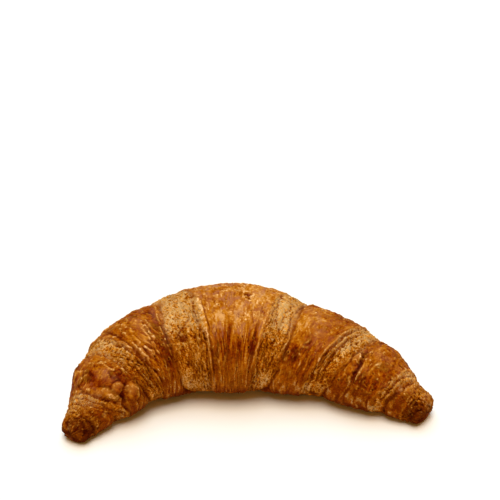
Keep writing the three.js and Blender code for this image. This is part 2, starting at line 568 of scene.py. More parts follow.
@dataclass(frozen=True)
class Loaf:
    """The plain shape of the loaf, and the lean of its sections.

    Attributes:
        bend: The middle line.
        girth: The thickness.
        sheet: The rolled layers.
        leans: How far the sections lean outwards on each side, by arc.
        lean_share: The share of that lean, by the degrees unrolled from the tail.
    """

    bend: Bend = Bend()
    girth: Girth = Girth()
    sheet: RolledSheet = field(default_factory=RolledSheet)
    leans: dict[Side, Knots] = field(default_factory=lambda: {
        Side.LEFT: ((0, 0), (17, 9), (50, 9), (76, 8), (92, 0)),
        Side.RIGHT: ((0, 0), (16, 16), (44, 19), (75, 8), (92, 0)),
    })
    lean_share: Knots = ((0, -0.36), (40, -0.5), (140, 0), (240, 0.5), (320, 0), (360, -0.36))

    @property
    def reach(self) -> float:
        """The arc of a horn's very end."""
        return self.bend.half_arc + self.girth.cap

    def lean(self, row: Array, turn: Array) -> Array:
        """Lean the sections.

        Args:
            row: The arc at which each section crosses the middle of its lean.
            turn: The turn of each point.

        Returns:
            The arc of each point.
        """
        out = np.abs(row)
        most = np.where(row < 0, through(self.leans[Side.LEFT], out), through(self.leans[Side.RIGHT], out))
        return row + np.sign(row) * most * through(self.lean_share, self.sheet.unrolled(turn))

    def surface(self, arc: Array, turn: Array, lift: Array | float = 0) -> tuple[Array, Array]:
        """Place points on the loaf.

        Args:
            arc: The arc of each point.
            turn: The turn of each point.
            lift: How far each point stands above the plain shape, in millimetres.

        Returns:
            The points in millimetres, and half of the loaf's width at each.
        """
        inner = np.clip(arc, -self.bend.half_arc, self.bend.half_arc)
        past = np.minimum(1, np.abs(arc - inner) / self.girth.cap)
        shrink = np.sqrt(1 - past**self.girth.bluntness)
        endwise = past**2
        sidewise = np.sqrt(1 - endwise**2)
        x, y, heading = self.bend.walk(inner)
        half_width, half_height = self.girth.halves(inner, self.bend.half_arc)
        angle = np.radians(turn)
        out_across = np.cos(angle) / half_width
        out_up = np.sin(angle) / half_height
        length = np.hypot(out_across, out_up)
        across = half_width * np.cos(angle) * shrink + lift * sidewise * out_across / length
        up = half_height * np.sin(angle) * shrink + lift * sidewise * out_up / length
        along = arc - inner + np.sign(arc) * lift * endwise
        points = np.stack([
            x + np.cos(heading) * along - np.sin(heading) * across,
            y + np.sin(heading) * along + np.cos(heading) * across,
            np.maximum(0, half_height * (1 - self.girth.sunk_share) + up),
        ], -1)
        return points, half_width

    def place(self, row: Array, turn: Array) -> Place:
        """Place points on leaning sections of the plain surface.

        Args:
            row: The arc at which each section crosses the middle of its lean.
            turn: The turn of each point.

        Returns:
            The points.
        """
        arc = self.lean(row, turn)
        spot, girth = self.surface(arc, turn)
        return Place(arc, np.where(turn > 270, turn - 360, turn), row, spot, girth)


@dataclass
class Relief:
    """The baked relief and what it does to the colour, at each point.

    Attributes:
        lift: The height above the plain loaf, in millimetres.
        bake: How brown the skin is, from 0 for pale tan to 1 for dark red brown, with some painted shade at
            the foot and on the lower halves of blisters.
        torn: Where the dough is torn open.
        crumb_and_painted_light: The grain of the torn dough, from 0 in the pits to 1 on the crests; the
            pits are darker as painted shade and the crests and top lighter as painted light.
        pale: Thin dry edges, blisters, rims and crests, lighter than what is round them; partly dry dough
            and partly painted highlight.
        painted_shade: Painted shade in creases, pits, holes and gaps, which hold no light.
        film_and_sheen: Where the glaze dried to a dull pinkish film; on the top it also stands in for
            painted sheen.
        burnt: Where the crust is scorched.
        streak: How strongly fibres show on the skin.
    """

    lift: Array
    bake: Array
    torn: Array
    crumb_and_painted_light: Array
    pale: Array
    painted_shade: Array
    film_and_sheen: Array
    burnt: Array
    streak: Array

    @classmethod
    def smooth(cls, layers: Layering) -> "Relief":
        """Return the relief of the bare layers, before any work on them."""
        return cls(layers.height.copy(), *(np.zeros(layers.height.shape) for _ in range(8)))

    def masks(self) -> dict[str, Array]:
        """Gather what the finish reads.

        Returns:
            The masks from 0 to 1, by name.
        """
        names = ("bake", "torn", "crumb_and_painted_light", "pale", "painted_shade", "film_and_sheen", "burnt", "streak")
        return {name: np.clip(getattr(self, name), 0, 1) for name in names}

    def paint_crest_light_and_shade(self, passes: int = 7) -> None:
        """Paint the crests paler, partly as dry skin and partly as painted highlight, and paint shade
        between them.

        Args:
            passes: How often the relief is smoothed before a crest is measured against it.
        """
        crest = self.lift - softened(self.lift, passes)
        self.pale += 0.45 * (1 - 0.4 * np.clip(self.torn, 0, 1)) * fade(crest, 0.06, 0.34)
        self.painted_shade += 0.6 * fade(crest, -0.07, -0.38)


def terrace(level: Array, lip: float) -> tuple[Array, Array, Array]:
    """Cut a field into thin flakes that lie on each other.

    Args:
        level: The field. One unit is one flake.
        lip: The share of a flake over which its edge rises.

    Returns:
        The height of the flakes over the field, how near each point is to the edge of its flake,
        and how near it is to the foot of the next one.
    """
    part = level - np.floor(level)
    height = fade(part, 0, lip) - part
    return height, bump(part - lip, 0.6 * lip), fade(part, 1 - lip, 1)


class Step(ABC):
    """One step of the work on the crust."""

    @abstractmethod
    def work(self, place: Place, layers: Layering, relief: Relief) -> None:
        """Work on the relief.

        Args:
            place: The points of the surface.
            layers: What the rolled layers do at the points.
            relief: The relief, which the step changes.
        """


@dataclass(frozen=True)
class TornDough(Step):
    """The torn faces: curled threads of dough, thin sheets that run along the cut, and small holes.

    Attributes:
        thread: The size of the threads, in millimetres.
        leaf: The size of the small leaves, in millimetres.
        sheet: How far apart the sheets along the cut lie.
        sheet_count: How many sheets a very wide face would show.
        hole: How far apart the places of the holes lie.
        hole_share: The share of those places where there is a hole.
        paleness: How pale the dough is before its grain.
        curls: The noise of the threads.
        cuts: The noise of the sheets.
        pores: The noise of the holes.
    """

    thread: float = 2.0
    leaf: float = 3.8
    sheet: float = 1.55
    sheet_count: int = 8
    hole: float = 2.6
    hole_share: float = 0.22
    paleness: float = 0.83
    curls: Grain = Grain(23)
    cuts: Grain = Grain(37)
    pores: Grain = Grain(53)

    def sheets(self, place: Place, layers: Layering) -> tuple[Array, Array]:
        """Lay thin sheets of dough along the cuts.

        Args:
            place: The points of the surface.
            layers: What the rolled layers do at the points.

        Returns:
            How near each point is to the edge of a sheet, and to the gap behind it.
        """
        wander = 0.8 * self.cuts.fractal(place.row / 8, place.turn / 18, octaves=3)
        edges = np.zeros(place.arc.shape)
        gaps = np.zeros(place.arc.shape)
        for number in range(self.sheet_count):
            wave = self.cuts.smooth(place.turn / 30 + 9 * number, layers.wrap)
            middle = 0.5 + self.sheet * number + 0.5 * wave
            strength = fade(self.cuts.smooth(place.turn / 15 + 17 * number, layers.wrap + 0.5), -0.6, 0.2)
            strength = strength * fade(layers.face - middle, 0.3, 1.5) * 0.88**number
            past = layers.beyond + wander - middle
            edges += bump(past, 0.38) * strength
            gaps += bump(past - 0.75, 0.34) * strength
        return np.clip(edges, 0, 1), np.clip(gaps, 0, 1)

    def browning_and_painted_light(self, place: Place) -> Array:
        """Lighten and darken the dough by where it lies, partly as browning and partly as painted light and
        shade.

        Args:
            place: The points of the surface.

        Returns:
            How much paler or darker the dough is: above 0 on the top, partly painted light, and below 0 on
                the browned front, partly painted shade, and on the browned back.
        """
        top = place.past(126, 106)
        front = place.past(112, 138) * place.past(186, 168)
        browning_and_painted_light = 0.26 * top - 0.32 * front - 0.06 * place.past(168, 186) - 0.2 * place.past(54, 16)
        return browning_and_painted_light - 0.12 * bump(place.arc + 58, 8) + 0.16 * top * bump(place.arc - 24, 7)

    def work(self, place: Place, layers: Layering, relief: Relief) -> None:
        """Tear the faces open.

        Args:
            place: The points of the surface.
            layers: What the rolled layers do at the points.
            relief: The relief, which turns rough on the faces.
        """
        bent = place.wandered(self.curls, 2.8, 1.3)
        strings = self.curls.ridges(bent.row / 1.25, bent.turn / 10, octaves=2)
        crumbs = self.curls.ridges(*bent.axes(self.thread), octaves=1)
        stringy = fade(place.turn + 20 * self.cuts.smooth(*place.axes(9.0)), 118, 150)
        curl = crumbs + (strings - crumbs) * (0.5 + 0.4 * stringy)
        fine = self.curls.ridges(bent.row / 0.9, bent.turn / 5, octaves=1) - 0.5
        step, edge, foot = terrace(2.6 * self.cuts.fractal(*bent.axes(self.leaf), octaves=2), 0.25)
        broad = self.cuts.fractal(*place.axes(7.0), octaves=2)
        distance, chance = self.pores.scatter(*place.axes(self.hole))
        holes = fade(distance, 0.3, 0.12) * (chance < self.hole_share)
        ridge, gap = self.sheets(place, layers)
        inside = fade(layers.beyond + 0.6 * broad, -0.4, 0.9)
        torn = inside * fade(layers.beyond + 1.8 * broad, layers.face + 1.2, layers.face - 3.2)
        rough = 1 + 0.2 * place.past(126, 106) - 0.32 * place.past(130, 148)
        relief.torn += torn
        relief.lift += torn * rough * (0.5 * (curl - 0.4) + 0.36 * step - 0.6 * holes)
        relief.lift += torn * (0.5 * ridge - 0.4 * gap + 0.16 * fine + 0.3 * broad)
        # The grain is lighter at flake edges as painted highlight and darker at their feet as painted
        # shade.
        grain = 0.62 * (curl - 0.5) + 0.28 * edge - 0.42 * foot + 0.16 * fine
        # Paler on the top and darker on the front, partly as painted light and shade.
        relief.crumb_and_painted_light += self.paleness + 0.22 * broad + self.browning_and_painted_light(place)
        relief.crumb_and_painted_light += rough * (0.35 + 0.65 * torn) * grain
        # Sheet edges paler, partly as painted highlight; painted shade in the holes, the gaps behind the
        # sheets and at the flakes' feet.
        relief.pale += torn * np.clip(0.5 * ridge + 0.3 * edge * curl, 0, 0.8)
        relief.painted_shade += torn * (0.7 * holes + 0.5 * gap + 0.16 * foot * (1 - curl))


@dataclass
class SkinNoise:
    """Noise of several sizes on the skin, each from about -1 to 1.

    Attributes:
        broad: Wide bands that run with the roll.
        medium: Bands about 1.5 mm wide.
        fine: Fibres about 0.75 mm wide.
        mottle: Round patches.
        blotch: Patches drawn out along the roll.
        speck: Small spots drawn out along the roll.
    """

    broad: Array
    medium: Array
    fine: Array
    mottle: Array
    blotch: Array
    speck: Array


@dataclass
class SkinZones:
    """The parts of the skin that bake in their own way, each from 0 to 1.

    Attributes:
        middle: The wrap in the middle of the loaf.
        front: The dark streaked band on the front.
        top: The top.
        back: The back.
        rear: The streaked band low on the back.
    """

    middle: Array
    front: Array
    top: Array
    back: Array
    rear: Array

    @property
    def streaky(self) -> Array:
        """How streaky the skin is."""
        return self.front + 0.6 * self.rear


@dataclass(frozen=True)
class GlazedSkin(Step):
    """The smooth skin between the cuts: fibres that run with the roll, thin flakes, pits and a film that is
    partly painted sheen.

    Attributes:
        skin: The noise of the fibres and flakes.
        pits: The noise of the small craters.
        crater: How far apart the places of the craters lie, in millimetres.
        crater_share: The share of those places where there is a crater.
    """

    skin: Grain = Grain(11)
    pits: Grain = Grain(71)
    crater: float = 2.5
    crater_share: float = 0.5

    def noise(self, place: Place, bent: Place) -> SkinNoise:
        """Draw the skin's noise.

        Args:
            place: The points of the surface.
            bent: The same points with places that wander.

        Returns:
            The noise at the points.
        """
        row, turn = bent.row, bent.turn
        return SkinNoise(
            broad=self.skin.fractal(row / 4.0, turn / 60, octaves=2),
            medium=self.skin.fractal(row / 1.5, turn / 26, octaves=2),
            fine=self.skin.fractal(row / 0.75, turn / 12, octaves=1),
            mottle=self.skin.fractal(*place.axes(5.5), octaves=3),
            blotch=self.skin.other(5).fractal(row / 2.3, turn / 11, octaves=3),
            speck=self.skin.other(6).fractal(row / 1.1, turn / 4.5, octaves=2),
        )

    def zones(self, place: Place, noise: SkinNoise) -> SkinZones:
        """Divide the skin into zones with ragged borders.

        Args:
            place: The points of the surface.
            noise: The skin's noise.

        Returns:
            The zones.
        """
        start = 132 + 13 * noise.broad + 9 * noise.medium
        end = 176 + 9 * noise.broad + 6 * noise.medium
        front = fade(place.turn - start, -9, 12) * fade(place.turn - end, 12, -10)
        ragged = place.turn + 9 * noise.broad
        return SkinZones(
            middle=fade(np.abs(place.arc), 24, 10),
            front=front,
            top=fade(np.abs(place.turn - 88), 68, 40) * (1 - front),
            back=fade(np.mod(place.turn + 90, 360), 135, 95),
            rear=fade(ragged + 6 * noise.medium, 52, 34) * fade(ragged, -14, 4),
        )

    def craters(self, place: Place) -> tuple[Array, Array]:
        """Scatter small craters over parts of the skin.

        Args:
            place: The points of the surface.

        Returns:
            How near each point is to the rim of a crater, and to its bottom.
        """
        distance, chance = self.pits.scatter(*place.axes(self.crater))
        pocked = fade(self.pits.smooth(*place.axes(9)), -0.6, 0.2) * (chance < self.crater_share)
        return bump(distance - 0.25, 0.08) * pocked, fade(distance, 0.21, 0.08) * pocked

    def brown(self, place: Place, noise: SkinNoise, zones: SkinZones, calm: Array, relief: Relief) -> None:
        """Brown the skin.

        Args:
            place: The points of the surface.
            noise: The skin's noise.
            zones: The skin's zones.
            calm: How patchy the skin is, from 1 down to about 0.3 where it is even.
            relief: The relief, whose bake and streak change.
        """
        relief.bake += 0.46 - 0.08 * zones.middle + 0.15 * fade(np.abs(place.arc), 26, 40)
        relief.bake += zones.front * (0.1 + 0.28 * zones.middle)
        relief.bake += 0.28 * place.past(150, 188) * (1 - zones.front)
        relief.bake += 0.12 * zones.back + 0.04 * zones.top + 0.1 * zones.rear
        relief.bake += (0.07 + 0.2 * zones.streaky) * noise.medium
        relief.bake += (0.05 + 0.16 * zones.streaky) * noise.fine
        relief.bake += 0.13 * calm * noise.mottle + (0.12 * calm + 0.3 * zones.top) * noise.blotch
        relief.bake += 0.06 * noise.speck
        relief.streak += 0.35 + 0.3 * place.past(165, 190)
        relief.streak += 0.65 * zones.streaky * (0.5 + 0.5 * zones.middle)

    def dull(self, place: Place, bent: Place, noise: SkinNoise, zones: SkinZones, relief: Relief) -> None:
        """Dry some patches of the top pale, and lay a dull pinkish film on others, which on the top is
        partly painted sheen.

        Args:
            place: The points of the surface.
            bent: The same points with places that wander.
            noise: The skin's noise.
            zones: The skin's zones.
            relief: The relief, whose pale mask and pinkish film change.
        """
        whole = 1 - relief.torn
        dry = fade(noise.blotch + 0.45 * noise.speck, -0.04, 0.46)
        relief.pale += whole * (0.1 + 0.65 * zones.top * (0.3 + 0.7 * zones.middle)) * dry
        # The film lies on the top, where it partly stands in for painted sheen.
        film = fade(self.skin.other(9).fractal(*bent.axes(5.5), octaves=3), -0.25, 0.2)
        film = film * zones.top * (1 - zones.back) * (0.3 + fade(np.abs(place.arc), 26, 16))
        relief.film_and_sheen += whole * film * (1 - 0.8 * dry) * fade(noise.fine + noise.speck, -0.7, 0.3)

    def work(self, place: Place, layers: Layering, relief: Relief) -> None:
        """Draw the skin's fibres, flakes and craters, and brown it.

        Args:
            place: The points of the surface.
            layers: Not used by this step.
            relief: The relief, which changes where the dough isn't torn.
        """
        bent = place.wandered(self.skin, 6.0, 0.8)
        noise = self.noise(place, bent)
        zones = self.zones(place, noise)
        whole = 1 - relief.torn
        calm = (1 - 0.55 * place.past(146, 166)) * (1 - 0.35 * zones.front * zones.middle)
        step, edge, foot = terrace(2.2 * self.skin.fractal(bent.row / 5.5, bent.turn / 24, octaves=3), 0.2)
        rim, dent = self.craters(place)
        waves = 0.3 * step + 0.18 * noise.medium + 0.15 * noise.fine
        relief.lift += whole * calm * (waves + 0.19 * noise.speck + 0.22 * noise.blotch)
        relief.lift += whole * (0.2 * rim - 0.32 * dent)
        # Flake edges and crater rims paler, partly as painted highlight; painted shade at the foot of each
        # flake and in the craters.
        relief.pale += whole * (0.5 * edge * fade(noise.mottle, 0.1, -0.5) + 0.2 * rim)
        relief.painted_shade += whole * (0.35 * foot * fade(noise.mottle, -0.3, 0.4) + 0.75 * dent)
        self.brown(place, noise, zones, calm, relief)
        self.dull(place, bent, noise, zones, relief)
        fibrous = whole * fade(place.turn + 8 * noise.medium, 150, 172)
        relief.torn += 0.5 * fibrous
        relief.crumb_and_painted_light += fibrous * (0.35 * noise.fine + 0.25 * noise.medium - 0.36)
        relief.lift += 0.12 * fibrous * noise.fine


@dataclass(frozen=True)
class Wrinkles(Step):
    """Wavy crests of dry skin that run with the roll on the outer wraps.

    Attributes:
        noise: The noise of the crests.
        starts: The arc beyond which each side is wrinkled.
        across: The width of a crest and its trough, in millimetres.
        along: Its length, in degrees of turn.
    """

    noise: Grain = Grain(83)
    starts: tuple[float, float] = (39.5, 57.0)
    across: float = 2.6
    along: float = 21

    def work(self, place: Place, layers: Layering, relief: Relief) -> None:
        """Raise the crests.

        Args:
            place: The points of the surface.
            layers: Not used by this step.
            relief: The relief, which changes on the outer wraps.
        """
        out = np.abs(place.arc)
        zone = fade(out - place.sided(*self.starts), 0, 3.5) * (1 - relief.torn) * fade(out, 79, 74)
        bent = place.wandered(self.noise, 4.5, 1.2)
        crest = self.noise.ridges(bent.row / self.across, bent.turn / self.along, octaves=2)
        patch = fade(self.noise.smooth(*place.axes(6.0)), -0.35, 0.25)
        high = fade(crest, 0.5, 0.8) * patch * zone
        mild = place.sided(1, 0.6) * (1 - 0.6 * place.past(142, 162))
        # Crests painted paler and the ground between them darker: partly dry skin, partly painted highlight
        # and shade.
        relief.lift += 0.46 * mild * high
        relief.pale += 0.24 * mild * high
        relief.bake += 0.1 * zone * (0.3 - high)


@dataclass
class Ground:
    """The surface that the single features are laid on.

    Attributes:
        place: The points.
        bent: The same points with places that wander.
        uneven: Noise that makes the features uneven.
        level: The relief's height with the fine forms smoothed away.
        relief: The relief.
    """

    place: Place
    bent: Place
    uneven: Array
    level: Array
    relief: Relief

    def stain(self, mark: Mark) -> None:
        """Bake a patch darker, or lighter where its amount is negative.

        Args:
            mark: The patch.
        """
        darker = mark.amount * bump(mark.distance(self.bent), 0.8)
        self.relief.bake += darker
        self.relief.pale *= 1 - np.clip(0.7 * darker, 0, 0.8)

    def blister(self, mark: Mark) -> None:
        """Raise a blister with a flat, dull top and a dry rim, painted lighter on the half that faces up
        and darker on the other, with painted shade round its foot.

        Args:
            mark: Where the blister is.
        """
        relief = self.relief
        reach = mark.distance(self.bent) + 0.14 * self.uneven
        top = fade(reach, 1.15, 0.75)
        relief.lift += 0.85 * top * (self.level - relief.lift)
        # Painted light and shade: the half that faces up gets a sheen and paleness, the half below is
        # darkened.
        lit_upper_half = fade(self.place.turn - mark.turn, 7, -7)
        relief.film_and_sheen += 0.3 * top * lit_upper_half
        relief.bake += 0.12 * top * (1 - lit_upper_half)
        relief.lift += 0.85 * mark.amount * top * (1 + 0.12 * self.uneven) - 0.1 * bump(reach - 1.3, 0.2)
        relief.pale *= 1 - 0.6 * top
        relief.painted_shade *= 1 - 0.6 * top
        relief.pale += 0.28 * top * fade(reach, 0.1, 0.8) * (0.3 + 0.7 * lit_upper_half) + 0.24 * top * lit_upper_half
        # Painted shade round the blister's foot.
        relief.painted_shade += 0.5 * bump(reach - 1.25, 0.16)

    def crater(self, mark: Mark) -> None:
        """Burst a bubble, which leaves a broken pale ring round a dent.

        Args:
            mark: Where the bubble was.
        """
        relief = self.relief
        reach = mark.distance(self.bent) + 0.38 * self.uneven
        ring = bump(reach - 0.95, 0.28) * np.clip(0.75 + 1.1 * self.uneven, 0, 1.4)
        relief.lift += mark.amount * (ring - 0.6 * fade(reach, 0.75, 0.3))
        # The paler ring is partly painted highlight, and painted shade lies in the dent.
        relief.pale += 0.85 * ring
        relief.painted_shade += 0.3 * bump(reach - 0.5, 0.3)

    def dent(self, mark: Mark) -> None:
        """Press a small hole into the surface and paint shade into it.

        Args:
            mark: The hole.
        """
        deep = fade(mark.distance(self.bent), 1.1, 0.5)
        self.relief.lift -= mark.amount * deep
        # Painted shade in the hole.
        self.relief.painted_shade += deep

    def strand(self, strand: Strand) -> None:
        """Lay a fold or a roll with a painted shadow beside it, or cut a groove with painted shade in it.

        A wide strand first smooths the ground that it covers.

        Args:
            strand: The strand.
        """
        relief = self.relief
        near = strand.nearness(self.bent)
        calm = fade(strand.width, 0.95, 1.25) * np.clip(1.5 * near, 0, 0.9)
        relief.lift += calm * (self.level - relief.lift)
        relief.painted_shade *= 1 - 0.7 * calm
        # Painted shadow beside a raised strand, painted highlight on its crest, painted shade in a groove.
        beside = max(0.0, strand.height) * fade(near, 0.02, 0.2) * fade(near, 0.65, 0.25)
        relief.lift += 1.15 * strand.height * near * (0.85 + 0.5 * self.uneven) - 0.3 * beside
        relief.painted_shade += 0.5 * beside
        relief.pale += 0.8 * strand.pale * near * np.clip(0.7 + 0.9 * self.uneven, 0, 1)
        relief.painted_shade += max(0.0, -1.7 * strand.height) * near * np.clip(0.85 + 0.5 * self.uneven, 0, 1)


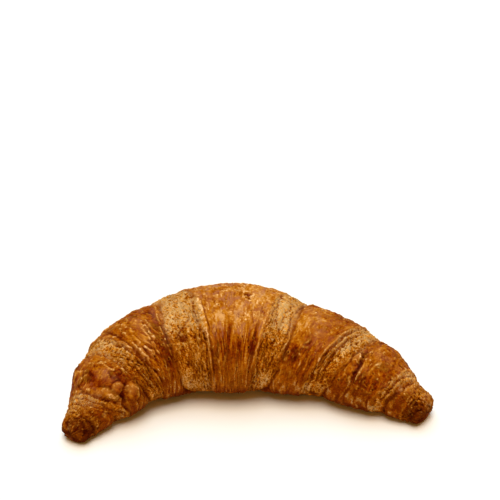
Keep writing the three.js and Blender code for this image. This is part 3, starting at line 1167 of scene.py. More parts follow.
@dataclass(frozen=True)
class Features(Step):
    """The folds, rolls, blisters and burnt spots that tell this croissant from others.

    Attributes:
        domes: Low domes where steam lifted the dough.
        blisters: Small flat-topped blisters of dry skin.
        craters: Burst bubbles, each a raised ring round a dent.
        browned: Patches that baked darker, or lighter where the amount is negative.
        film_sheen_patches: Patches under a dull pinkish film, partly painted sheen on the top.
        dents: Small holes and hollows.
        strands: Folds, rolls and grooves.
        wander: The noise that makes them uneven.
    """

    domes: tuple[Mark, ...] = (
        Mark(-66.5, 128, 5.5, 5, 1.1), Mark(-68.5, 98, 4, 9, 1), Mark(-63, 150, 5.5, 7.5, 1.1),
        Mark(-47, 106, 5, 7, 0.9), Mark(-44, 84, 4.5, 8, 0.8), Mark(-41, 116, 3.6, 6, 0.8),
        Mark(-54, 192, 9, 8, 1.4), Mark(7, 62, 7, 6, 0.9), Mark(33, 96, 7, 9, 0.8),
        Mark(62, 104, 4.5, 10, 0.9), Mark(67, 74, 5, 7, 0.9),
    )
    blisters: tuple[Mark, ...] = (
        Mark(-70.2, 134, 2.1, 2.3, 0.6), Mark(-67.5, 145, 1.1, 1.3, 0.5),
        Mark(-65.5, 157, 2.4, 4.3, 0.45), Mark(-51.5, 122, 1.5, 2.2, 0.5),
        Mark(-44.5, 122, 1.2, 1.7, 0.5), Mark(-47.1, 129, 1.1, 1.6, 0.45),
        Mark(58.5, 118, 2.2, 2.6, 0.4), Mark(3, 110, 1.3, 1.0, 0.3), Mark(-11, 128, 1.0, 1.4, 0.3),
    )
    craters: tuple[Mark, ...] = (
        Mark(4.9, 85.5, 2.3, 3.1, 0.7), Mark(27, 142, 0.9, 0.9, 0.5), Mark(19.1, 114, 2.0, 2.8, 0.3),
        Mark(18.6, 128, 1.5, 1.7, 0.3),
    )
    browned: tuple[Mark, ...] = (
        Mark(-10.3, 158, 1.3, 10, 0.5), Mark(-5, 154, 1.9, 8, 0.5), Mark(1.3, 156, 1.1, 7, 0.45),
        Mark(8.8, 152, 2.4, 9, 0.45), Mark(-38.6, 142, 2.8, 7, 1.0), Mark(-36.5, 96, 2.2, 12, 0.4),
        Mark(-36.5, 124, 2.2, 8, 0.35), Mark(25.6, 148, 2.6, 4, 0.8), Mark(30.5, 143, 2, 5, 0.8),
        Mark(61, 130, 2.0, 9, 0.45), Mark(63.5, 146, 2.4, 5, 0.35), Mark(-72.8, 76, 3, 8, 0.4),
        Mark(-67, 120, 4.5, 5, 0.5), Mark(-70.3, 154, 1.6, 3.4, 0.7), Mark(-2, 112, 10, 5, -0.15),
        Mark(40, 168, 12, 6, 0.2), Mark(-44, 168, 9, 6, 0.25), Mark(76, 130, 3, 9, 0.3),
        Mark(36, 92, 8, 14, -0.22), Mark(68, 108, 6, 14, -0.12), Mark(36, 138, 6, 7, 0.2),
        Mark(-62, 184, 8, 6, 0.25), Mark(84, 120, 4, 14, 0.2), Mark(-84, 130, 5, 14, 0.55),
        Mark(64, 158, 10, 8, 0.34), Mark(79, 158, 5, 6, 0.2), Mark(38, 126, 6, 7, 0.12),
        Mark(4.6, 84, 1.9, 1.6, 0.5), Mark(-9, 78, 3, 4, 0.3), Mark(-12, 88, 2, 3, 0.3),
        Mark(12, 104, 2.4, 4, 0.25), Mark(9.4, 84, 2.2, 6, -0.35), Mark(7.6, 96, 1.8, 4, -0.3),
        Mark(-2, 118, 4, 3, -0.25), Mark(66, 168, 8, 6, 0.4),
    )
    film_sheen_patches: tuple[Mark, ...] = (
        Mark(-12, 98, 3, 6, 0.9), Mark(-0.7, 92, 4, 5, 0.7), Mark(1.8, 110, 4, 4, 0.7),
        Mark(11, 95, 4, 6, 0.9), Mark(38, 100, 5, 7, 0.6), Mark(-69.1, 105, 2.3, 4.5, 0.75),
        Mark(-43.6, 92, 3, 6, 0.6), Mark(34, 80, 5, 6, 0.6), Mark(-36, 84, 2, 6, 0.5),
        Mark(68, 84, 4, 5, 0.5),
    )
    dents: tuple[Mark, ...] = (
        Mark(-27.4, 129.5, 3.2, 2.1, 0.9), Mark(19.5, 72, 0.8, 0.7, 0.8), Mark(21.3, 70, 0.7, 0.8, 0.8),
        Mark(23, 74, 0.8, 0.7, 0.8), Mark(24.4, 76, 0.7, 0.7, 0.8), Mark(25, 68, 0.8, 0.8, 0.8),
        Mark(26.6, 66, 0.7, 0.7, 0.8), Mark(87.5, 124, 0.9, 1.1, 0.9), Mark(89.6, 116, 0.7, 0.8, 0.9),
        Mark(88.6, 104, 0.7, 1.0, 0.9), Mark(89.2, 146, 0.8, 0.9, 0.9), Mark(-53.4, 182, 0.6, 0.6, 0.7),
        Mark(-90, 60, 1.2, 2.4, 0.8), Mark(-90.6, 120, 1.0, 2.0, 0.8), Mark(-88.8, 158, 1.2, 1.8, 0.8),
        Mark(-86, 104, 0.8, 1.2, 0.6), Mark(-69.9, 150, 1.2, 2.2, 0.7), Mark(-70.4, 160, 1.2, 1.6, 0.6),
    )
    strands: tuple[Strand, ...] = (
        Strand(((-17.2, 84), (-16.2, 104), (-15.9, 122)), 0.5, 0.3, 1.0),
        Strand(((-22.6, 109), (-26, 116), (-29, 122), (-31.8, 129)), 0.55, -0.8),
        Strand(((-23.4, 111), (-27.4, 117), (-31, 122)), 0.6, 0.35, 0.7),
        Strand(((-30.9, 138), (-27, 136), (-23.5, 136), (-20, 142)), 0.45, 0.4, 0.6),
        Strand(((-18.2, 76), (-16.6, 104), (-15.8, 118), (-15.2, 128)), 1.5, 0.55, 1.2),
        Strand(((-15.4, 124), (-14.7, 144), (-13.8, 166), (-13.8, 194)), 0.8, 0.42, 0.25),
        Strand(((-17.4, 100), (-17.0, 116), (-16.6, 136)), 0.4, 0.35, 0.8),
        Strand(((-20.2, 70), (-19.4, 102), (-18.8, 124), (-17.8, 142)), 0.3, -0.28),
        Strand(((-16.2, 88), (-14.0, 118), (-13.4, 138), (-12.6, 160), (-12.5, 188)), 0.34, -0.4),
        Strand(((-22, 76), (-20.8, 102), (-20.2, 124), (-19.4, 146)), 0.45, 0.3, 0.6),
        Strand(((-31.4, 166), (-27.8, 182)), 0.32, 0.3, 0.6),
        Strand(((-17.8, 164), (-20.4, 170), (-23, 178)), 0.32, 0.3, 0.7),
        Strand(((-25, 156), (-21.4, 168), (-20.6, 180)), 0.3, 0.25, 0.5),
        Strand(((-35, 80), (-35.9, 98), (-37.1, 112), (-36.6, 126)), 0.6, 0.35, 0.6),
        Strand(((-40.6, 84), (-41, 98), (-40.2, 112)), 0.55, 0.35, 0.6),
        Strand(((-43.6, 86), (-44.5, 102), (-44.2, 117)), 0.7, 0.4, 0.7),
        Strand(((-43.4, 104), (-42.2, 119)), 0.8, 0.45, 0.8),
        Strand(((-47.1, 80), (-49.6, 98), (-49.2, 114), (-47.1, 130)), 0.65, 0.45, 0.65),
        Strand(((-50, 74), (-51.8, 104), (-51.8, 122), (-50.2, 136)), 0.6, 0.35, 0.5),
        Strand(((-52.4, 46), (-53.3, 82), (-53.4, 102), (-53.5, 122), (-52, 140), (-49.8, 156), (-48, 178)),
               0.55, -0.9),
        Strand(((-54.4, 60), (-55.2, 90), (-55.2, 120), (-53.8, 142), (-51.6, 160)), 0.32, -0.4),
        Strand(((-62.1, 94), (-60, 108), (-60.7, 124)), 0.75, 0.5, 0.7),
        Strand(((-66.4, 82), (-66.9, 96), (-67.6, 106), (-65.8, 110), (-64.6, 102)), 0.8, 0.35, 0.35),
        Strand(((-58.1, 112), (-57.2, 140), (-54.6, 166), (-52.8, 184)), 0.5, 0.4, 0.8),
        Strand(((-75.6, 102), (-74.5, 115), (-73.6, 126), (-73.1, 138), (-71.8, 152)), 1.3, 0.7, 0.4),
        Strand(((-62.4, 144), (-63.2, 158), (-65.6, 176)), 0.8, 0.35, 0.4),
        Strand(((-60.6, 146), (-61.8, 162), (-64.6, 178)), 0.4, -0.45),
        Strand(((-74.8, 46), (-77.4, 78), (-76.2, 120), (-73.4, 148), (-69.9, 182), (-65.6, 216)),
               0.42, -0.6),
        Strand(((-79.4, 50), (-79.4, 90), (-77.6, 124), (-75.8, 154), (-70.6, 194)), 0.36, -0.5),
        Strand(((-81.2, 60), (-80.6, 110), (-78.8, 140), (-75.2, 172)), 0.42, 0.4, 0.5),
        Strand(((16, 84), (14.3, 110), (12.6, 126), (11.9, 142), (9.9, 160), (7.2, 190), (6.4, 208)),
               0.6, 0.3, 0.35),
        Strand(((27.4, 58), (25.9, 86), (24.9, 100), (25.2, 112), (25.2, 124)), 0.38, -0.5),
        Strand(((25.2, 114), (26.1, 126), (24.9, 136), (23.3, 144)), 0.48, 0.8, 1.0),
        Strand(((52.6, 46), (50.9, 70), (49, 88), (47.1, 108), (44.8, 122), (43.2, 138), (42.2, 156),
                (40.9, 174)), 0.5, 0.55, 0.6),
        Strand(((51.6, 70), (50.3, 86), (48.2, 106), (45.8, 123), (44.4, 142), (42.8, 164)), 0.3, -0.5),
        Strand(((53.4, 60), (51.6, 80), (49.5, 104), (46.9, 124), (45.5, 146), (43.7, 168)),
               0.5, 0.5, 0.5),
        Strand(((54.6, 66), (52.6, 86), (50.6, 104), (48.2, 124), (46.7, 148)), 0.4, -0.6),
        Strand(((50.6, 98), (52.4, 94), (54.6, 100), (55.5, 120), (54, 136)), 0.5, 0.5, 0.6),
        Strand(((60.3, 66), (57.4, 84), (56.6, 100), (56.4, 112)), 0.55, 0.45, 0.6),
        Strand(((56.8, 112), (58.6, 108), (60.2, 114)), 0.4, 0.4, 0.8),
        Strand(((56.6, 124), (58.4, 120), (59.8, 124)), 0.4, 0.35, 0.7),
        Strand(((61.2, 96), (61.2, 124), (59.9, 146)), 0.6, -0.6),
        Strand(((63.3, 88), (62.9, 112), (62.4, 132), (61.8, 152)), 0.5, 0.45, 0.6),
        Strand(((66, 92), (68.2, 104), (66.9, 114), (66, 134)), 0.45, 0.3, 0.5),
        Strand(((77.2, 44), (76.6, 88), (75.6, 116), (75, 138), (73.5, 166)), 0.5, 0.5, 0.6),
        Strand(((79, 60), (77.6, 88), (76.6, 115), (75.9, 139), (74.2, 164)), 0.3, -0.5),
        Strand(((80.6, 60), (78.6, 90), (77.6, 114), (76.8, 140), (75, 162)), 0.45, 0.45, 0.5),
        Strand(((81.6, 66), (80.2, 90), (79, 114), (78, 140)), 0.34, -0.5),
        Strand(((83.1, 60), (82.2, 94), (81.3, 118)), 0.5, 0.4, 0.4),
        Strand(((83.6, 110), (84.4, 132), (86, 150), (89, 176)), 0.55, 0.5, 0.3),
    )
    wander: Grain = Grain(97)

    def work(self, place: Place, layers: Layering, relief: Relief) -> None:
        """Lay the features on the surface.

        Args:
            place: The points of the surface.
            layers: Not used by this step.
            relief: The relief, which changes at each feature.
        """
        for mark in self.domes:
            relief.lift += mark.amount * bump(mark.distance(place), 0.6)
        uneven = self.wander.fractal(*place.axes(1.6), octaves=2)
        bent = place.wandered(self.wander, 2.6, 0.3)
        ground = Ground(place, bent, uneven, softened(relief.lift, 8), relief)
        for mark in self.browned:
            ground.stain(mark)
        patchy = fade(self.wander.fractal(*place.axes(2.2), octaves=2), -0.35, 0.15)
        # Pinkish film patches on the top: dried glaze and painted sheen.
        for mark in self.film_sheen_patches:
            relief.film_and_sheen += mark.amount * bump(mark.distance(bent), 0.8) * patchy
        for mark in self.blisters:
            ground.blister(mark)
        for mark in self.craters:
            ground.crater(mark)
        for mark in self.dents:
            ground.dent(mark)
        for strand in self.strands:
            ground.strand(strand)


@dataclass(frozen=True)
class Scorch(Step):
    """The two horns, rough, hard and partly burnt.

    Attributes:
        start: The arc where the roughness starts.
        full: The arc beyond which it is full.
        pit: How far apart the places of the pits lie, in millimetres.
        pit_share: The share of those places where there is a pit.
        noise: The noise of the lumps.
    """

    start: float = 78
    full: float = 88
    pit: float = 1.8
    pit_share: float = 0.55
    noise: Grain = Grain(131)

    def work(self, place: Place, layers: Layering, relief: Relief) -> None:
        """Roughen and burn the horns.

        Args:
            place: The points of the surface.
            layers: Not used by this step.
            relief: The relief, which changes at the horns.
        """
        near = fade(np.abs(place.arc), self.start, self.full)
        lumps = self.noise.fractal(*place.axes(1.9), octaves=3)
        spots = self.noise.fractal(*place.axes(4.2), octaves=2)
        grains = self.noise.ridges(*place.axes(1.2), octaves=2)
        distance, chance = self.noise.other(1).scatter(*place.axes(self.pit))
        pits = fade(distance, 0.42, 0.22) * (chance < self.pit_share)
        relief.lift += near * (0.4 * lumps + 0.4 * (grains - 0.4) - 0.7 * pits)
        relief.bake += near * (0.28 + 0.25 * lumps)
        # Painted shade in the pits; the paler lumps and grains are partly painted highlight.
        relief.painted_shade += near * 1.1 * pits
        relief.pale += near * 0.3 * fade(lumps + grains, 0.6, 1.2)
        far = np.abs(place.arc) + place.sided(1.4, 0)
        scorched = fade(far + 2.5 * spots + 4.5 * place.past(115, 165), 88, 92.5) * place.sided(1.25, 0.75)
        relief.burnt += scorched * fade(spots + 0.5 * lumps, -0.8, 0) * (1 - 0.5 * fade(grains, 0.5, 0.9))
        relief.torn += 0.5 * near * (1 - relief.torn)
        relief.crumb_and_painted_light += near * (0.4 * (grains - 0.5) - place.sided(0.58, 0.4))


@dataclass(frozen=True)
class Baking:
    """What the oven did to the rolled dough, step by step.

    Attributes:
        steps: The steps, in their order.
        tear: How ragged the cut edges are, in millimetres.
        cuts: The noise of that raggedness.
        horns: The arcs between which the layers flatten towards the horns.
    """

    steps: tuple[Step, ...] = (TornDough(), GlazedSkin(), Wrinkles(), Features(), Scorch())
    tear: float = 0.8
    cuts: Grain = Grain(37)
    horns: tuple[float, float] = (81, 87)

    def layers(self, loaf: Loaf, place: Place) -> Layering:
        """Work out the layers with ragged cut edges.

        Args:
            loaf: The loaf that is baked.
            place: The points of its surface.

        Returns:
            The layering at the points.
        """
        ragged = self.tear * self.cuts.fractal(*place.axes(5.0)) + 0.3 * self.cuts.smooth(*place.axes(1.2))
        layers = loaf.sheet.layering(place.arc + place.sided(-1, 1) * ragged, place.turn, loaf.reach)
        layers.height *= 1 - 0.75 * fade(np.abs(place.arc), *self.horns)
        return layers

    def part_edges(self, place: Place, layers: Layering, relief: Relief) -> None:
        """Lift the dry rims of the cut edges, paler partly as painted highlight, and paint shade into the
        gaps below them.

        Args:
            place: The points of the surface.
            layers: What the rolled layers do at the points.
            relief: The relief, which changes along the edges.
        """
        broken = fade(self.cuts.fractal(*place.axes(3.0)), -0.3, 0.35)
        relief.lift += 0.25 * bump(layers.before - 0.9, 0.8) - 0.3 * bump(layers.beyond - 0.1, 0.35)
        # Paler lips, partly painted highlight; painted shade in the gaps below the cut edges and in the
        # creases at the foot of the torn faces.
        relief.pale += 0.28 * bump(layers.before - 0.7, 0.5) * broken
        relief.painted_shade += (0.25 + 0.4 * broken) * bump(layers.beyond - 0.1, 0.35)
        relief.painted_shade += 0.2 * broken * bump(layers.beyond - layers.face, 0.6)

    def settle(self, place: Place, relief: Relief) -> None:
        """Flatten what lay on the baking tray, and darken the foot of the loaf.

        Args:
            place: The points of the surface.
            relief: The finished relief.
        """
        below = fade(-np.sin(np.radians(place.turn)), 0.55, 0.86)
        slender = fade(place.girth, 15, 5)
        relief.lift *= (1 - 0.85 * below) * (1 - 0.35 * slender)
        # Painted highlight on the crests and painted shade between them.
        relief.paint_crest_light_and_shade()
        # The darker foot is partly tray browning and partly painted shade where the loaf turns under
        # towards the table; the pale marks, partly painted highlight, fade out low on the front.
        foot = place.past(190, 214)
        relief.pale *= 1 - 0.75 * place.past(158, 182) * (1 - 0.6 * np.clip(relief.torn, 0, 1))
        relief.pale = 0.95 * np.tanh(1.25 * relief.pale) * (1 - 0.8 * foot)
        relief.crumb_and_painted_light -= 0.25 * foot
        relief.painted_shade += 0.1 * foot
        relief.bake += 0.25 * below + 0.16 * foot - 0.12 * place.past(162, 184) * (1 - foot)

    def bake(self, loaf: Loaf, place: Place) -> Relief:
        """Work out the relief and the colour masks.

        Args:
            loaf: The loaf that is baked.
            place: The points of its surface.

        Returns:
            The relief at the points.
        """
        layers = self.layers(loaf, place)
        relief = Relief.smooth(layers)
        self.part_edges(place, layers, relief)
        for step in self.steps:
            step.work(place, layers, relief)
        self.settle(place, relief)
        return relief


@dataclass(frozen=True)
class NodeKit:
    """Adds nodes to one material's node tree.

    Attributes:
        tree: The node tree.
    """

    tree: bpy.types.NodeTree

    def add(self, kind: str, **settings: object) -> Node:
        """Add a node.

        Args:
            kind: The kind of node.
            settings: Its properties, by name.

        Returns:
            The node.
        """
        node = self.tree.nodes.new(kind)
        for name, value in settings.items():
            setattr(node, name, value)
        return node

    def link(self, output: Socket, target: Socket) -> None:
        """Join an output to an input."""
        self.tree.links.new(output, target)

    def feed(self, source: object, target: Socket) -> None:
        """Set an input.

        Args:
            source: A number, a colour or another node's output.
            target: The input.
        """
        if isinstance(source, Socket):
            self.link(source, target)
        elif isinstance(source, tuple):
            target.default_value = (*source, 1.0)
        else:
            target.default_value = source

    def mask(self, name: str) -> Socket:
        """Return a mask that the mesh carries."""
        return self.add("ShaderNodeAttribute", attribute_name=name).outputs["Fac"]

    def maths(self, operation: str, *terms: object, held: bool = False) -> Socket:
        """Work out a sum.

        Args:
            operation: What is done with the terms.
            terms: Up to three numbers or outputs.
            held: Whether the result is held from 0 to 1.

        Returns:
            The result.
        """
        node = self.add("ShaderNodeMath", operation=operation, use_clamp=held)
        for term, socket in zip(terms, node.inputs):
            self.feed(term, socket)
        return node.outputs["Value"]

    def times(self, a: object, b: object) -> Socket:
        """Return the product of two values."""
        return self.maths("MULTIPLY", a, b)

    def sway(self, base: object, noise: Socket, reach: float) -> Socket:
        """Sway a value to both sides.

        Args:
            base: The value.
            noise: The noise that sways it, from 0 to 1.
            reach: How far apart the two sides are.

        Returns:
            The swayed value.
        """
        return self.maths("ADD", base, self.maths("MULTIPLY_ADD", noise, reach, -reach / 2))

    def ramp(self, value: Socket, stops: Stops) -> Socket:
        """Turn a value into a colour.

        Args:
            value: The value.
            stops: The colours at some values, by rising value.

        Returns:
            The colour.
        """
        node = self.add("ShaderNodeValToRGB")
        elements = node.color_ramp.elements
        while len(elements) < len(stops):
            elements.new(0.5)
        for element, (position, colour) in zip(elements, stops):
            element.position = position
            element.color = (*colour, 1.0)
        self.link(value, node.inputs["Fac"])
        return node.outputs["Color"]

    def mix(self, share: object, a: object, b: object, how: str = "MIX") -> Socket:
        """Turn one colour into another.

        Args:
            share: How far it is turned, from 0 to 1.
            a: The first colour.
            b: The second colour.
            how: How the two are blended.

        Returns:
            The colour between them.
        """
        node = self.add("ShaderNodeMix", data_type="RGBA", blend_type=how, clamp_factor=True)
        colours = [socket for socket in node.inputs if socket.type == "RGBA"]
        self.feed(share, node.inputs[0])
        self.feed(a, colours[0])
        self.feed(b, colours[1])
        return next(socket for socket in node.outputs if socket.type == "RGBA")

    def noise(self, size: float, detail: float, place: Socket, curl: float = 0.0) -> Socket:
        """Draw noise.

        Args:
            size: The size of its lumps, in the place's own units.
            detail: How many finer sizes it has.
            place: Where it is read.
            curl: How strongly it is curled up.

        Returns:
            The noise, from 0 to 1.
        """
        node = self.add("ShaderNodeTexNoise")
        node.inputs["Scale"].default_value = 1 / size
        node.inputs["Detail"].default_value = detail
        node.inputs["Distortion"].default_value = curl
        self.link(place, node.inputs["Vector"])
        return node.outputs["Fac"]

    def threads(self, noise: Socket, sharpness: float) -> Socket:
        """Return thin lines, 1 where noise crosses its middle and 0 away from it."""
        off = self.maths("ABSOLUTE", self.maths("SUBTRACT", noise, 0.5))
        return self.maths("MULTIPLY_ADD", off, -sharpness, 1.0, held=True)


@dataclass(frozen=True)
class Textures:
    """The patterns that the finish is drawn from.

    Attributes:
        torn: Where the dough is torn open.
        lumps: Lumps a millimetre wide.
        grit: The finest grain.
        fibres: Fibres that run with the roll.
        threads: Thin curled lines.
    """

    torn: Socket
    lumps: Socket
    grit: Socket
    fibres: Socket
    threads: Socket


@dataclass(frozen=True)
class CrustFinish:
    """Egg-washed skin that baked from tan to red brown, and dry torn dough.

    Attributes:
        name: The material's name.
        skin: The skin's colours by how brown it is.
        dough: The torn dough's colours by its grain.
        dry: The colours of the pale marks, thin dry edges and painted highlights, by how strong they are.
        film: The colour of the glaze where it dried dull, also used as painted sheen on the top.
        shade: What the colour is multiplied by under the painted shade in creases, pits and gaps.
        scorched: The colour of the burnt horns.
        shine: How strongly the skin reflects.
        glint: The tint of what it reflects head on.
        skin_roughness: How rough the skin is.
        dough_roughness: How rough the torn dough is.
        lump: The size of the lumps, in millimetres.
        grit: The size of the finest grain, in millimetres.
        thread: The size of the finest threads of dough, in millimetres.
        relief: The height of the finest relief, in millimetres.
    """

    name: str = "baked crust"
    skin: Stops = (
        (0.0, (0.68, 0.36, 0.12)), (0.22, (0.53, 0.213, 0.016)), (0.42, (0.378, 0.114, 0.0008)),
        (0.62, (0.274, 0.053, 0.0003)), (0.82, (0.165, 0.017, 0.0003)), (1.0, (0.08, 0.006, 0.0002)),
    )
    dough: Stops = (
        (0.0, (0.15, 0.02, 0.0002)), (0.3, (0.38, 0.08, 0.0004)), (0.52, (0.58, 0.17, 0.0015)),
        (0.78, (0.88, 0.385, 0.038)), (1.0, (1.0, 0.67, 0.29)),
    )
    dry: Stops = (
        (0.0, (0.5, 0.16, 0.001)), (0.45, (0.62, 0.25, 0.012)), (0.8, (0.82, 0.44, 0.12)),
        (1.0, (0.98, 0.65, 0.31)),
    )
    film: Colour = (0.39, 0.153, 0.07)
    shade: Colour = (0.34, 0.13, 0.05)
    scorched: Colour = (0.11, 0.015, 0.0004)
    shine: float = 0.015
    glint: Colour = (1.0, 0.72, 0.45)
    skin_roughness: float = 0.45
    dough_roughness: float = 0.8
    lump: float = 1.0
    grit: float = 0.4
    thread: float = 1.3
    relief: float = 0.55

    def textures(self, kit: NodeKit) -> Textures:
        """Draw the patterns.

        Args:
            kit: What adds the nodes.

        Returns:
            The patterns.
        """
        place = kit.add("ShaderNodeTexCoord").outputs["Object"]
        rolled = kit.add("ShaderNodeAttribute", attribute_name="rolled").outputs["Vector"]
        return Textures(
            torn=kit.mask("torn"),
            lumps=kit.noise(self.lump * MM, 4.0, place),
            grit=kit.noise(self.grit * MM, 3.0, place),
            fibres=kit.noise(1.0, 3.0, rolled, curl=0.3),
            threads=kit.threads(kit.noise(self.thread * MM, 2.0, place, curl=1.4), 9.0),
        )

    def colour(self, kit: NodeKit, drawn: Textures) -> Socket:
        """Colour the skin and dough, then the film with its painted sheen, pale marks, burnt horns and
        painted shade.

        Args:
            kit: What adds the nodes.
            drawn: The patterns.

        Returns:
            The colour.
        """
        streaks = kit.times(kit.maths("SUBTRACT", drawn.fibres, 0.5), kit.mask("streak"))
        bake = kit.sway(kit.maths("MULTIPLY_ADD", streaks, 1.3, kit.mask("bake")), drawn.lumps, 0.95)
        bake = kit.sway(bake, drawn.grit, 0.4)
        curls = kit.sway(drawn.threads, drawn.grit, 0.9)
        # The dough's grain mask carries painted shade in the pits and painted light on the crests and the
        # top.
        grain = kit.sway(kit.sway(kit.mask("crumb_and_painted_light"), drawn.fibres, 0.5), curls, 0.45)
        colour = kit.mix(drawn.torn, kit.ramp(bake, self.skin), kit.ramp(grain, self.dough))
        # The pinkish film: dried glaze, and on the top also painted sheen.
        colour = kit.mix(kit.times(kit.mask("film_and_sheen"), 0.75), colour, self.film)
        dryness = kit.maths("MULTIPLY_ADD", drawn.lumps, 2.2, -0.2)
        # The pale marks are partly dry dough and partly painted highlight.
        dry = kit.maths("MULTIPLY", kit.mask("pale"), dryness, held=True)
        colour = kit.mix(kit.times(dry, 0.9), colour, kit.ramp(dry, self.dry))
        colour = kit.mix(kit.times(kit.mask("burnt"), 0.85), colour, self.scorched)
        # Painted shade: the colour is multiplied darker in creases, pits, holes and gaps.
        return kit.mix(kit.times(kit.mask("painted_shade"), 0.9), colour, self.shade, "MULTIPLY")

    def roughness(self, kit: NodeKit, drawn: Textures) -> Socket:
        """Make the torn dough rougher than the skin, and the film rougher by a little.

        Args:
            kit: What adds the nodes.
            drawn: The patterns.

        Returns:
            The roughness.
        """
        dull = kit.maths("MAXIMUM", drawn.torn, kit.times(kit.mask("film_and_sheen"), 0.4))
        between = kit.add("ShaderNodeMapRange")
        between.inputs["To Min"].default_value = self.skin_roughness
        between.inputs["To Max"].default_value = self.dough_roughness
        kit.link(kit.sway(dull, drawn.lumps, 0.5), between.inputs["Value"])
        return between.outputs["Result"]

    def normal(self, kit: NodeKit, drawn: Textures) -> Socket:
        """Raise the finest relief.

        Args:
            kit: What adds the nodes.
            drawn: The patterns.

        Returns:
            The direction that the surface faces.
        """
        rising = kit.times(kit.times(drawn.threads, 0.7), drawn.torn)
        for pattern in (drawn.fibres, drawn.grit, drawn.lumps):
            rising = kit.maths("MULTIPLY_ADD", pattern, 0.5, rising)
        surface = kit.add("ShaderNodeBump")
        surface.inputs["Strength"].default_value = 1.0
        surface.inputs["Distance"].default_value = self.relief * MM
        kit.link(rising, surface.inputs["Height"])
        return surface.outputs["Normal"]

    def make(self) -> bpy.types.Material:
        """Make the material.

        Returns:
            The material, which reads the masks that the crust's mesh carries.
        """
        material = bpy.data.materials.new(self.name)
        material.use_nodes = True
        material.node_tree.nodes.clear()
        kit = NodeKit(material.node_tree)
        drawn = self.textures(kit)
        shader = kit.add("ShaderNodeBsdfPrincipled")
        shader.inputs["Specular IOR Level"].default_value = self.shine
        shader.inputs["Specular Tint"].default_value = (*self.glint, 1.0)
        kit.link(self.colour(kit, drawn), shader.inputs["Base Color"])
        kit.link(self.roughness(kit, drawn), shader.inputs["Roughness"])
        kit.link(self.normal(kit, drawn), shader.inputs["Normal"])
        output = kit.add("ShaderNodeOutputMaterial")
        kit.link(shader.outputs["BSDF"], output.inputs["Surface"])
        return material


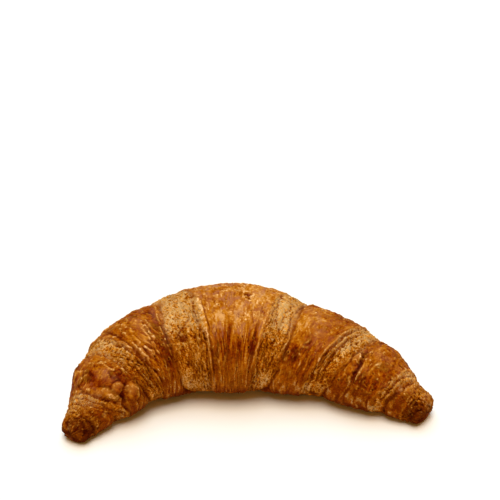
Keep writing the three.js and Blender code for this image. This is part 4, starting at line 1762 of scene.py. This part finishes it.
@dataclass
class Crust:
    """The whole baked surface as one closed mesh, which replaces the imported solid.

    Attributes:
        loaf: The shape of the loaf.
        baking: Its relief.
        finish: Its material.
        rows: How many sections stand along the bend.
        columns: How many points go round each section.
        cap_rows: How many sections close each blunt end.
        density: How closely points stand, by turn.
        fibre: The width and the length of a fibre of the skin, in millimetres.
        turn_steps: How finely that density is summed up round the loaf.
    """

    loaf: Loaf = field(default_factory=Loaf)
    baking: Baking = Baking()
    finish: CrustFinish = CrustFinish()
    rows: int = 440
    columns: int = 222
    cap_rows: int = 13
    density: Knots = ((0, 0.85), (60, 1), (215, 1), (242, 0.3), (318, 0.3), (345, 0.7), (360, 0.85))
    fibre: tuple[float, float] = (0.75, 6.5)
    turn_steps: int = 3600

    def row_arcs(self) -> Array:
        """Space the sections, closing up at the blunt ends.

        Returns:
            The arc of each section.
        """
        half = self.loaf.bend.half_arc
        inside = np.linspace(-half, half, self.rows - 2 * self.cap_rows)
        shares = np.sin(np.linspace(0, np.pi / 2, self.cap_rows + 2)[1:-1])
        ends = half + shares * self.loaf.girth.cap
        return np.concatenate([-ends[::-1], inside, ends])

    def column_turns(self) -> Array:
        """Space the points round a section, fewer below.

        Returns:
            The turn of each point.
        """
        fine = np.linspace(0, 360, self.turn_steps + 1)
        crowd = np.concatenate([[0], np.cumsum(through(self.density, fine[1:]))])
        return np.interp(np.arange(self.columns) / self.columns * crowd[-1], crowd, fine)

    def quads(self) -> Array:
        """List the faces between the sections.

        Returns:
            The corners of each face.
        """
        index = np.arange(self.rows * self.columns).reshape(self.rows, self.columns)
        turned = np.roll(index, -1, 1)
        corners = [index[:-1], turned[:-1], turned[1:], index[1:]]
        return np.stack(corners, -1).reshape(-1, 4)

    def tips(self) -> list[tuple[int, int, int]]:
        """List the faces that close the two ends.

        Returns:
            The corners of each face.
        """
        left = self.rows * self.columns
        last = (self.rows - 1) * self.columns
        faces = []
        for column in range(self.columns):
            after = (column + 1) % self.columns
            faces.append((left, after, column))
            faces.append((left + 1, last + column, last + after))
        return faces

    def lay_map(self, mesh: bpy.types.Mesh, rows: Array, turns: Array) -> None:
        """Lay the surface out flat, arc across and turn up, so that a texture can be baked on it.

        Args:
            mesh: The mesh to map.
            rows: The arcs of the sections.
            turns: The turns of the points round a section.
        """
        across = (rows + self.loaf.reach) / (2 * self.loaf.reach)
        up = np.append(turns, 360) / 360
        i, j = np.meshgrid(np.arange(self.rows - 1), np.arange(self.columns), indexing="ij")
        i, j = i.ravel(), j.ravel()
        corners = [(i, j), (i, j + 1), (i + 1, j + 1), (i + 1, j)]
        quads = np.stack([value for row, column in corners for value in (across[row], up[column])], -1)
        tips = []
        for column in range(self.columns):
            middle = (up[column] + up[column + 1]) / 2
            tips += [0, middle, across[0], up[column + 1], across[0], up[column]]
            tips += [1, middle, across[-1], up[column], across[-1], up[column + 1]]
        layer = mesh.uv_layers.new(name="OFBake")
        layer.uv.foreach_set("vector", np.concatenate([quads.ravel(), tips]).astype(np.float32))

    def rolled(self, place: Place) -> Array:
        """Return each point's place in fibres: a fibre is one unit across and one unit long.

        Args:
            place: The points of the surface.

        Returns:
            One row of three numbers for each point and for the two ends.
        """
        width, length = self.fibre
        angle = np.radians(place.turn)
        ring = self.loaf.girth.middle / length
        points = np.stack([place.row / width, ring * np.cos(angle), ring * np.sin(angle)], -1)
        end = self.loaf.reach / width
        ends = [[-end, 0, 0], [end, 0, 0]]
        return np.concatenate([points.reshape(-1, 3), ends])

    def carry_masks(self, mesh: bpy.types.Mesh, place: Place, relief: Relief) -> None:
        """Store what the finish reads on the mesh.

        Args:
            mesh: The crust's mesh.
            place: The points of the surface.
            relief: The relief at the points.
        """
        for name, mask in relief.masks().items():
            values = np.concatenate([mask.ravel(), [mask[0].mean(), mask[-1].mean()]])
            layer = mesh.attributes.new(name, "FLOAT", "POINT")
            layer.data.foreach_set("value", values.astype(np.float32))
        rolled = mesh.attributes.new("rolled", "FLOAT_VECTOR", "POINT")
        rolled.data.foreach_set("vector", self.rolled(place).ravel().astype(np.float32))

    def build(self) -> bpy.types.Object:
        """Build the crust, dress it and hang it on the frame.

        Returns:
            The finished piece.
        """
        rows, turns = self.row_arcs(), self.column_turns()
        row, turn = np.meshgrid(rows, turns, indexing="ij")
        place = self.loaf.place(row, turn)
        relief = self.baking.bake(self.loaf, place)
        points, _ = self.loaf.surface(place.arc, turn, relief.lift)
        end_lift = np.array([relief.lift[0].mean(), relief.lift[-1].mean()])
        ends, _ = self.loaf.surface(np.array([-self.loaf.reach, self.loaf.reach]), np.zeros(2), end_lift)
        verts = np.concatenate([points.reshape(-1, 3), ends]) * MM
        mesh = bpy.data.meshes.new("crust")
        mesh.from_pydata(verts.tolist(), [], self.quads().tolist() + self.tips())
        self.carry_masks(mesh, place, relief)
        mesh.shade_smooth()
        self.lay_map(mesh, rows, turns)
        mesh.materials.append(self.finish.make())
        piece = bpy.data.objects.new("crust", mesh)
        bpy.context.scene.collection.objects.link(piece)
        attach(piece, BODY)
        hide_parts(NODE)
        return piece


@dataclass(frozen=True)
class TableFinish:
    """The plain white top of the table.

    Attributes:
        name: The material's name.
        colour: Its colour.
        roughness: How rough it is.
        shine: How strongly it reflects.
    """

    name: str = "white table"
    colour: Colour = (0.88, 0.9, 0.895)
    roughness: float = 0.7
    shine: float = 0.2

    def make(self) -> bpy.types.Material:
        """Make the material.

        Returns:
            The material.
        """
        material = bpy.data.materials.new(self.name)
        material.use_nodes = True
        shader = material.node_tree.nodes["Principled BSDF"]
        shader.inputs["Base Color"].default_value = (*self.colour, 1)
        shader.inputs["Roughness"].default_value = self.roughness
        shader.inputs["Specular IOR Level"].default_value = self.shine
        return material


@dataclass(frozen=True)
class Lamp:
    """One wide soft light, so far off that it is equally strong all over the table.

    Attributes:
        name: Its name.
        place: Where it hangs over the middle of the table, in metres.
        breadth: How wide it looks from the table, in degrees.
        strength: How strong it is on a surface that faces it, in watts per square metre.
        colour: Its colour.
    """

    name: str
    place: tuple[float, float, float]
    breadth: float
    strength: float
    colour: Colour = (1, 1, 1)

    def hang(self) -> bpy.types.Object:
        """Make the light and point it at the middle of the table.

        Returns:
            The light.
        """
        data = bpy.data.lights.new(self.name, "SUN")
        data.angle = np.radians(self.breadth)
        data.energy = self.strength
        data.color = self.colour
        lamp = bpy.data.objects.new(self.name, data)
        lamp.location = self.place
        lamp.rotation_euler = (-Vector(self.place)).to_track_quat("-Z", "Y").to_euler()
        bpy.context.scene.collection.objects.link(lamp)
        return lamp


@dataclass
class Studio:
    """The table, the soft lights and the camera.

    Attributes:
        table: The finish of the table.
        eye: Where the camera stands, in metres.
        tilt: How far down it looks, in degrees.
        swing: How far it is turned to the right of +Y, in degrees.
        reach: How many pictures' widths away a thing is that fills the picture.
        film: The width of the camera's film, in millimetres.
        table_size: The side of the table, in metres.
        sky: The strength of the light from all round.
        sky_colour: The colour of that light.
        lamps: The soft lights.
    """

    table: TableFinish = TableFinish()
    eye: tuple[float, float, float] = (-0.03229, -0.42352, 0.38205)
    tilt: float = 36
    swing: float = 4.685
    reach: float = 2.51878
    film: float = 36
    table_size: float = 12
    sky: float = 0.42
    sky_colour: Colour = (1.0, 0.5, 0.1)
    lamps: tuple[Lamp, ...] = (
        Lamp("overhead", (-0.03, -0.16, 0.94), 36, 2.3, (1.0, 0.92, 0.8)),
        Lamp("behind", (-0.03, 0.36, 0.9), 48, 1.4, (0.6, 1.0, 1.3)),
    )

    def set_camera(self) -> bpy.types.Object:
        """Make the camera and make it the scene's own.

        Returns:
            The camera.
        """
        data = bpy.data.cameras.new("camera")
        data.sensor_fit = "HORIZONTAL"
        data.sensor_width = self.film
        data.lens = self.film * self.reach
        camera = bpy.data.objects.new("camera", data)
        camera.location = self.eye
        camera.rotation_euler = (np.radians(90 - self.tilt), 0, np.radians(-self.swing))
        bpy.context.scene.collection.objects.link(camera)
        bpy.context.scene.camera = camera
        return camera

    def lay_table(self) -> bpy.types.Object:
        """Lay the white table under the croissant.

        Returns:
            The table.
        """
        half = self.table_size / 2
        corners = [(-half, -half, 0), (half, -half, 0), (half, half, 0), (-half, half, 0)]
        mesh = bpy.data.meshes.new("table")
        mesh.from_pydata(corners, [], [(0, 1, 2, 3)])
        mesh.materials.append(self.table.make())
        table = bpy.data.objects.new("table", mesh)
        bpy.context.scene.collection.objects.link(table)
        return table

    def light(self) -> None:
        """Hang the lights and set the even light from all round."""
        world = bpy.data.worlds.new("soft white room")
        world.use_nodes = True
        background = world.node_tree.nodes["Background"]
        background.inputs["Color"].default_value = (*self.sky_colour, 1)
        background.inputs["Strength"].default_value = self.sky
        bpy.context.scene.world = world
        for lamp in self.lamps:
            lamp.hang()
        bpy.context.scene.view_settings.view_transform = "Standard"


def main() -> None:
    """Build the croissant and its setting, and log how many faces its crust has."""
    logging.basicConfig(level=logging.INFO, format="%(message)s")
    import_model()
    studio = Studio()
    studio.set_camera()
    crust = Crust().build()
    log.info("crust: %d faces", len(crust.data.polygons))
    studio.lay_table()
    studio.light()


if __name__ == "__main__":
    main()
